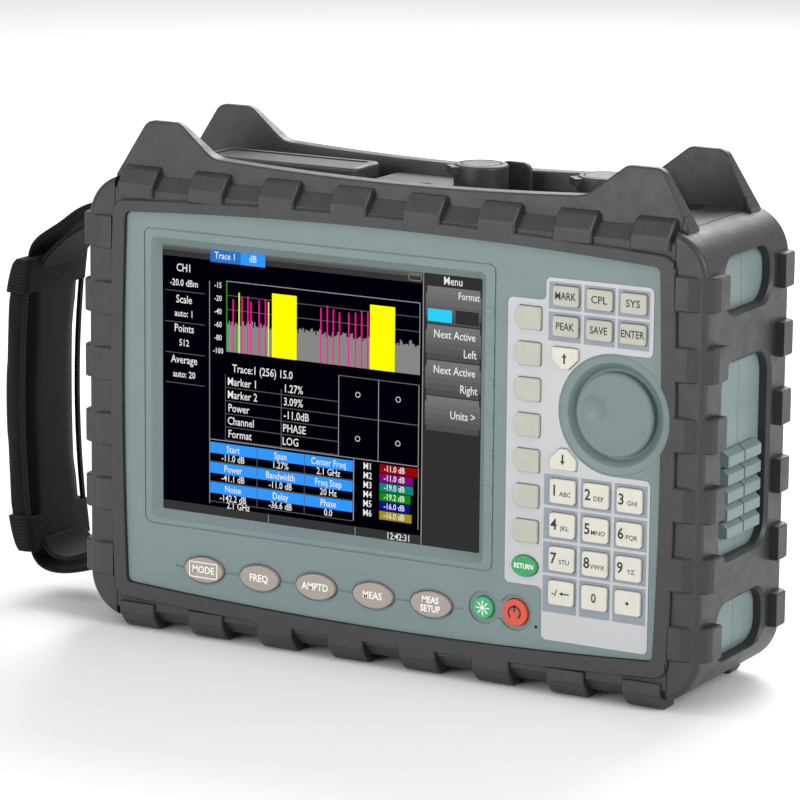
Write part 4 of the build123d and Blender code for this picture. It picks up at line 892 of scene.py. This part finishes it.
# ---------------------------------------------------------------- hand strap
PAD_ARC = ((-214.5, 170.7), (-224.5, 97.7), (-214.5, 24.7))     # x and z in millimetres
PAD_THICKNESS = 12.5 * MM
PAD_LENGTH = 146.4 * MM
PAD_ROUND = 26 * MM       # length over which the pad's outer side rounds in at each end
PAD_SWELL = 1.6 * MM      # farthest that a point moves when the pad is blown up
PAD_BINDING = 0.115       # share of the pad's length that each binding covers
PAD_STEPS = 12            # straight steps in the line that the pad's UV map follows
CLOTH_FRAMES = 20
STRAP_PATH = {            # middle line seen from the front: x and z in millimetres
    "upper": ((-150.0, 202.6), (-158.0, 202.6), (-173.5, 201.6), (-186.0, 196.5),
              (-194.5, 189.0), (-206.0, 182.5), (-212.3, 177.0), (-214.5, 168.0)),
    "upper_return": ((-150.0, 194.8), (-158.0, 194.8), (-171.0, 193.4), (-183.0, 188.6),
                     (-194.0, 181.4), (-203.0, 173.5), (-208.0, 166.0)),
    "lower_return": ((-208.0, 30.0), (-204.0, 22.5), (-194.0, 20.5), (-182.0, 25.5),
                     (-170.0, 30.4), (-158.0, 31.6), (-150.0, 31.6)),
    "lower": ((-214.5, 27.0), (-212.6, 18.5), (-204.0, 13.5), (-187.5, 15.7),
              (-171.5, 21.5), (-158.0, 23.8), (-150.0, 23.8)),
}


def band(name, path, width, thickness, rounds=2, y=0.0):
    """A flat band along a path of (x, z) points in millimetres, with its length as UV."""
    nothing_selected()
    first = Vector((path[0][0] * MM, y, path[0][1] * MM))
    bpy.ops.mesh.primitive_plane_add(size=1.0, location=(0, 0, 0))
    obj = named(name)
    open_mesh(obj)
    bpy.ops.transform.resize(value=(0.0, width, 1.0))
    bpy.ops.mesh.remove_doubles(threshold=WELD)
    bpy.ops.transform.translate(value=first)
    bpy.ops.mesh.subdivide(number_cuts=3)
    bpy.ops.mesh.select_mode(type="EDGE")
    bpy.ops.mesh.select_all(action="SELECT")
    last = first
    for x, z in path[1:]:
        point = Vector((x * MM, y, z * MM))
        bpy.ops.mesh.extrude_region_move(TRANSFORM_OT_translate={"value": point - last})
        last = point
    close_mesh()
    obj.modifiers.new("round", "SUBSURF").levels = rounds
    obj.modifiers["round"].render_levels = rounds
    thick = obj.modifiers.new("thick", "SOLIDIFY")
    thick.thickness = thickness
    thick.offset = 0.0
    add_bevel(obj, thickness * 0.3)
    apply_all(obj)
    face_outwards(obj)
    run_uv(obj, path)
    return smooth(obj, 50.0)


def run_uv(obj, path):
    """UV map whose V is the distance along the path and U the place across, in metres."""
    points = [Vector((x * MM, 0, z * MM)) for x, z in path]
    starts = [0.0]
    for a, b in zip(points, points[1:]):
        starts.append(starts[-1] + (b - a).length)
    along = {}
    for vertex in obj.data.vertices:
        spot = Vector((vertex.co.x, 0, vertex.co.z))
        best = None
        for i, (a, b) in enumerate(zip(points, points[1:])):
            step = b - a
            t = min(1.0, max(0.0, (spot - a).dot(step) / step.length_squared))
            gap = (spot - a - step * t).length
            if best is None or gap < best[0]:
                best = (gap, starts[i] + t * step.length)
        along[vertex.index] = best[1]
    layer = obj.data.uv_layers.new(name="run")
    for loop in obj.data.loops:
        vertex = obj.data.vertices[loop.vertex_index]
        layer.data[loop.index].uv = (vertex.co.y, along[vertex.index])


def tape(name, base, roughness):
    """Dull fabric with a little sheen."""
    return Finish(name, base, roughness, Specular_IOR_Level=0.15, Sheen_Weight=0.08,
                  Sheen_Roughness=0.4)


def woven(name, base):
    """Woven band: ribs along it and a fine herringbone across it, with painted shade in its grooves
    and painted highlight on its raised threads.
    """
    rib_pitch, weft_pitch = 2.2 * MM, 1.1 * MM
    finish = tape(name, base, 0.78)
    across, along = finish.run()
    rib = finish.ribs(across, rib_pitch)
    shift = finish.math("MULTIPLY", finish.math("ABSOLUTE", rib), 0.8)
    turns = finish.math("MULTIPLY", along, 2 * math.pi / weft_pitch)
    weft = finish.math("SINE", finish.math("ADD", turns, shift))
    height = finish.math("MULTIPLY", finish.upwards(rib), finish.upwards(weft))
    # Painted shade and highlight: the colour follows the weave's height, darker in the grooves and
    # lighter on the raised threads.
    finish.tint(finish.blend(height, shade(base, 0.7), shade(base, 1.9)))
    finish.grain(height, 0.22 * MM)
    finish.grain(finish.noise(0.35 * MM, detail=1.0), 0.05 * MM)
    return finish.material


class ANALYZER_OT_strap_webbing(bpy.types.Operator):
    """Woven band that holds the strap's pad"""
    bl_idname = "analyzer.strap_webbing"
    bl_label = "Strap webbing"

    def execute(self, context):
        size = sizes()
        material = woven("woven band", as_tuple(colours().webbing))
        pieces = []
        for name, path in STRAP_PATH.items():
            piece = band("strap_band_" + name, path, size.web_width, size.web_thickness)
            pieces.append(give(piece, material))
        for piece in pieces:
            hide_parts("strap_webbing")
        return {"FINISHED"}


class ANALYZER_OT_strap_pad(bpy.types.Operator):
    """Padded sleeve that the hand rests in, blown up as cloth, with bound ends"""
    bl_idname = "analyzer.strap_pad"
    bl_label = "Strap pad"

    def execute(self, context):
        body = self.sleeve("strap_cushion", 0.0, 1.0, -1.4 * MM, 3.2 * MM)
        self.puff(body)
        self.project(body)
        give(body, self.neoprene())
        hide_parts("strap_pad")
        twill = self.twill()
        for name, start, end in (("top", 0.0, PAD_BINDING), ("bottom", 1.0 - PAD_BINDING, 1.0)):
            binding = self.sleeve("strap_binding_" + name, start, end, 0.5 * MM, 3.6 * MM, 8)
            self.project(binding)
            give(binding, twill)
        for name, side in (("front", -1), ("back", 1)):
            path = self.path(0.1, 0.9, 4.9 * MM)
            seam = band("strap_piping_" + name, path, 2.6 * MM, 1.8 * MM, 1,
                        side * (sizes().pad_width / 2 - 2.7 * MM))
            give(seam, twill)
        return {"FINISHED"}

    def line(self, t, inwards=0.0):
        """Point on the pad's middle line, t from 0 at the top to 1, or beside it."""
        (x0, z0), (x1, z1), (x2, z2) = PAD_ARC
        x = (1 - t) ** 2 * x0 + 2 * t * (1 - t) * x1 + t ** 2 * x2
        z = (1 - t) ** 2 * z0 + 2 * t * (1 - t) * z1 + t ** 2 * z2
        return x * MM + inwards, z * MM

    def path(self, start=0.0, end=1.0, inwards=0.0):
        """Points along the pad in millimetres."""
        return [tuple(v / MM for v in self.line(start + (end - start) * i / PAD_STEPS, inwards))
                for i in range(PAD_STEPS + 1)]

    def outer(self, t):
        """How much of the outer half thickness is left near the pad's rounded ends."""
        depth = min(t, 1 - t) * PAD_LENGTH / PAD_ROUND
        if depth >= 1.0:
            return 1.0
        return 0.25 + 0.75 * math.sqrt(1 - (1 - depth) ** 2)

    def sleeve(self, name, start, end, grow, corner, rings=36):
        """A flat cushion bent along the pad's arc, rounded off at its outer ends."""
        nothing_selected()
        bpy.ops.mesh.primitive_cube_add(size=1.0, location=(0, 0, 0))
        obj = named(name)
        obj.scale = (PAD_THICKNESS + 2 * grow, sizes().pad_width + 2 * grow, 1.0)
        open_mesh(settle(obj))
        select_edges(obj, lambda a, b: abs(a.z - b.z) > 0.5)
        bpy.ops.mesh.bevel(offset=corner, segments=4, affect="EDGES")
        for i in range(1, rings):
            bpy.ops.mesh.select_all(action="SELECT")
            bpy.ops.mesh.bisect(plane_co=(0, 0, -0.5 + i / rings), plane_no=(0, 0, 1))
        close_mesh()
        for vertex in obj.data.vertices:
            t = start + (0.5 - vertex.co.z) * (end - start)
            x, z = self.line(t)
            side = vertex.co.x
            if side < 0:
                side *= self.outer(t)
            vertex.co = Vector((x + side, vertex.co.y, z))
        face_outwards(obj)
        if grow > 0:
            add_bevel(obj, 0.8 * MM, 50.0)
            apply_all(obj)
        return obj

    def twill(self):
        """Diagonal ribbed tape that binds the pad, with painted shade between its ribs and painted
        highlight on them.
        """
        base = as_tuple(colours().webbing)
        finish = tape("twill binding", base, 0.75)
        across, along = finish.run()
        slant = finish.math("ADD", finish.math("MULTIPLY", across, 0.75), along)
        high = finish.upwards(finish.ribs(slant, 1.7 * MM))
        # Painted shade and highlight: the colour follows the ribs' height, darker between the ribs and
        # lighter on them.
        finish.tint(finish.blend(high, shade(base, 0.6), shade(base, 2.2)))
        finish.grain(high, 0.35 * MM)
        finish.grain(finish.noise(0.4 * MM, detail=1.0), 0.05 * MM)
        return finish.material

    def puff(self, obj):
        """Blows the sleeve up a little as cloth, capping how far any point moves."""
        only(obj)
        remesh = obj.modifiers.new("remesh", "REMESH")
        remesh.mode = "VOXEL"
        remesh.voxel_size = 3.5 * MM
        bpy.ops.object.modifier_apply(modifier="remesh")
        rest = [v.co.copy() for v in obj.data.vertices]
        cloth = obj.modifiers.new("cloth", "CLOTH")
        cloth.settings.quality = 6
        cloth.settings.use_pressure = True
        cloth.settings.uniform_pressure_force = 4.0
        cloth.settings.effector_weights.gravity = 0.0
        scene = bpy.context.scene
        for number in range(1, CLOTH_FRAMES + 1):
            scene.frame_set(number)
        bpy.ops.object.modifier_apply(modifier="cloth")
        scene.frame_set(1)
        for vertex, start in zip(obj.data.vertices, rest):
            step = vertex.co - start
            if step.length > PAD_SWELL:
                vertex.co = start + step.normalized() * PAD_SWELL
        obj.modifiers.new("round", "SUBSURF").levels = 1
        apply_all(obj)

    def project(self, obj):
        """UV map along the pad, for its rib pattern."""
        run_uv(obj, self.path())
        smooth(obj, 60.0)

    def neoprene(self):
        """Smooth knit face with ribs along both edges."""
        finish = Finish("neoprene", as_tuple(colours().pad), 0.66, Specular_IOR_Level=0.18,
                        Sheen_Weight=0.12, Sheen_Roughness=0.35)
        _, along = finish.run()
        out, deep, _ = finish.split(finish.place())
        slant = finish.math("ADD", finish.math("MULTIPLY", out, 0.8), along)
        ribbed = finish.math("GREATER_THAN", finish.math("ABSOLUTE", deep),
                             sizes().pad_width / 2 - 4.0 * MM)
        height = finish.math("MULTIPLY", finish.upwards(finish.ribs(slant, 1.9 * MM)), ribbed)
        finish.mottle(9 * MM, 0.16)
        finish.grain(height, 0.5 * MM)
        finish.grain(finish.noise(0.5 * MM, detail=2.0), 0.06 * MM)
        return finish.material


# ---------------------------------------------------------------- stage
LIGHTS = {      # place and side in metres, power in watts
    "key_light": ((-0.9, -1.3, 2.1), 1.3, 8.0),
    "front_light": ((-0.7, -2.3, 0.55), 1.1, 21.0),
    "side_light": ((2.0, -0.3, 1.1), 1.1, 24.0),
    "back_light": ((-0.3, 1.7, 1.5), 1.3, 40.0),
}
LIGHT_TARGET = Vector((0.0, 0.0, 0.12))
WORLD_STRENGTH = 0.62
CAMERA_PLACE = Vector((0.9435, -1.7260, 0.5432))
CAMERA_TARGET = Vector((0.0084, -0.0445, 0.1291))
CAMERA_ROLL = math.radians(0.51)
CAMERA_LENS, SENSOR_WIDTH = 192.57, 36.0        # millimetres


class ANALYZER_OT_stage(bpy.types.Operator):
    """Floor, studio lights and camera"""
    bl_idname = "analyzer.stage"
    bl_label = "Stage"

    def execute(self, context):
        nothing_selected()
        bpy.ops.mesh.primitive_plane_add(size=8.0, location=(0, 0, -0.2 * MM))
        floor = named("floor")
        finish = Finish("pale floor", (0.95, 0.95, 0.95), 0.6)
        finish.mottle(0.4, 0.01)
        floor.data.materials.append(finish.material)
        for name, (place, size, power) in LIGHTS.items():
            self.light(name, Vector(place), size, power)
        world = bpy.context.scene.world or bpy.data.worlds.new("studio")
        bpy.context.scene.world = world
        world.use_nodes = True
        backdrop = world.node_tree.nodes["Background"]
        backdrop.inputs["Color"].default_value = (1.0, 1.0, 1.0, 1.0)
        backdrop.inputs["Strength"].default_value = WORLD_STRENGTH
        bpy.context.scene.view_settings.view_transform = "Standard"
        self.camera()
        return {"FINISHED"}

    def light(self, name, place, size, power):
        nothing_selected()
        bpy.ops.object.light_add(type="AREA", location=place)
        lamp = named(name)
        lamp.data.shape = "SQUARE"
        lamp.data.size = size
        lamp.data.energy = power
        lamp.rotation_euler = (LIGHT_TARGET - place).to_track_quat("-Z", "Y").to_euler()

    def camera(self):
        forward = (CAMERA_TARGET - CAMERA_PLACE).normalized()
        level = forward.cross(Vector((0, 0, 1))).normalized()
        rise = level.cross(forward)
        cosine, sine = math.cos(CAMERA_ROLL), math.sin(CAMERA_ROLL)
        right = level * cosine + rise * sine
        up = rise * cosine - level * sine
        nothing_selected()
        bpy.ops.object.camera_add(location=CAMERA_PLACE)
        camera = named("camera")
        turn = Matrix((right, up, -forward)).transposed()
        camera.rotation_euler = turn.to_euler()
        camera.data.lens = CAMERA_LENS
        camera.data.sensor_width = SENSOR_WIDTH
        camera.data.clip_start = 0.05
        bpy.context.scene.camera = camera


STEPS = (
    ANALYZER_OT_case_finish, ANALYZER_OT_rubber_finish, ANALYZER_OT_key_finish,
    ANALYZER_OT_overlay_print, ANALYZER_OT_inner_finish, ANALYZER_OT_legends,
    ANALYZER_OT_screen_picture, ANALYZER_OT_strap_webbing, ANALYZER_OT_strap_pad,
    ANALYZER_OT_stage,
)


class ANALYZER_PT_panel(bpy.types.Panel):
    """Sidebar panel with the settings and every step"""
    bl_idname = "ANALYZER_PT_panel"
    bl_label = "Network analyzer"
    bl_space_type = "VIEW_3D"
    bl_region_type = "UI"
    bl_category = "Analyzer"

    def draw(self, context):
        for group in (context.scene.analyzer_colours, context.scene.analyzer_sizes):
            box = self.layout.box()
            for name in group.__annotations__:
                box.prop(group, name)
        for step in STEPS:
            self.layout.operator(step.bl_idname)


CLASSES = (AnalyzerColours, AnalyzerSizes, *STEPS, ANALYZER_PT_panel)


def register():
    for item in CLASSES:
        bpy.utils.register_class(item)
    bpy.types.Scene.analyzer_colours = bpy.props.PointerProperty(type=AnalyzerColours)
    bpy.types.Scene.analyzer_sizes = bpy.props.PointerProperty(type=AnalyzerSizes)


def unregister():
    del bpy.types.Scene.analyzer_sizes
    del bpy.types.Scene.analyzer_colours
    for item in reversed(CLASSES):
        bpy.utils.unregister_class(item)


def main():
    register()
    for step in STEPS:
        group, name = step.bl_idname.split(".")
        result = getattr(getattr(bpy.ops, group), name)()
        if result != {"FINISHED"}:
            raise RuntimeError(step.bl_label + " did not finish")


if __name__ == "__main__":
    main()
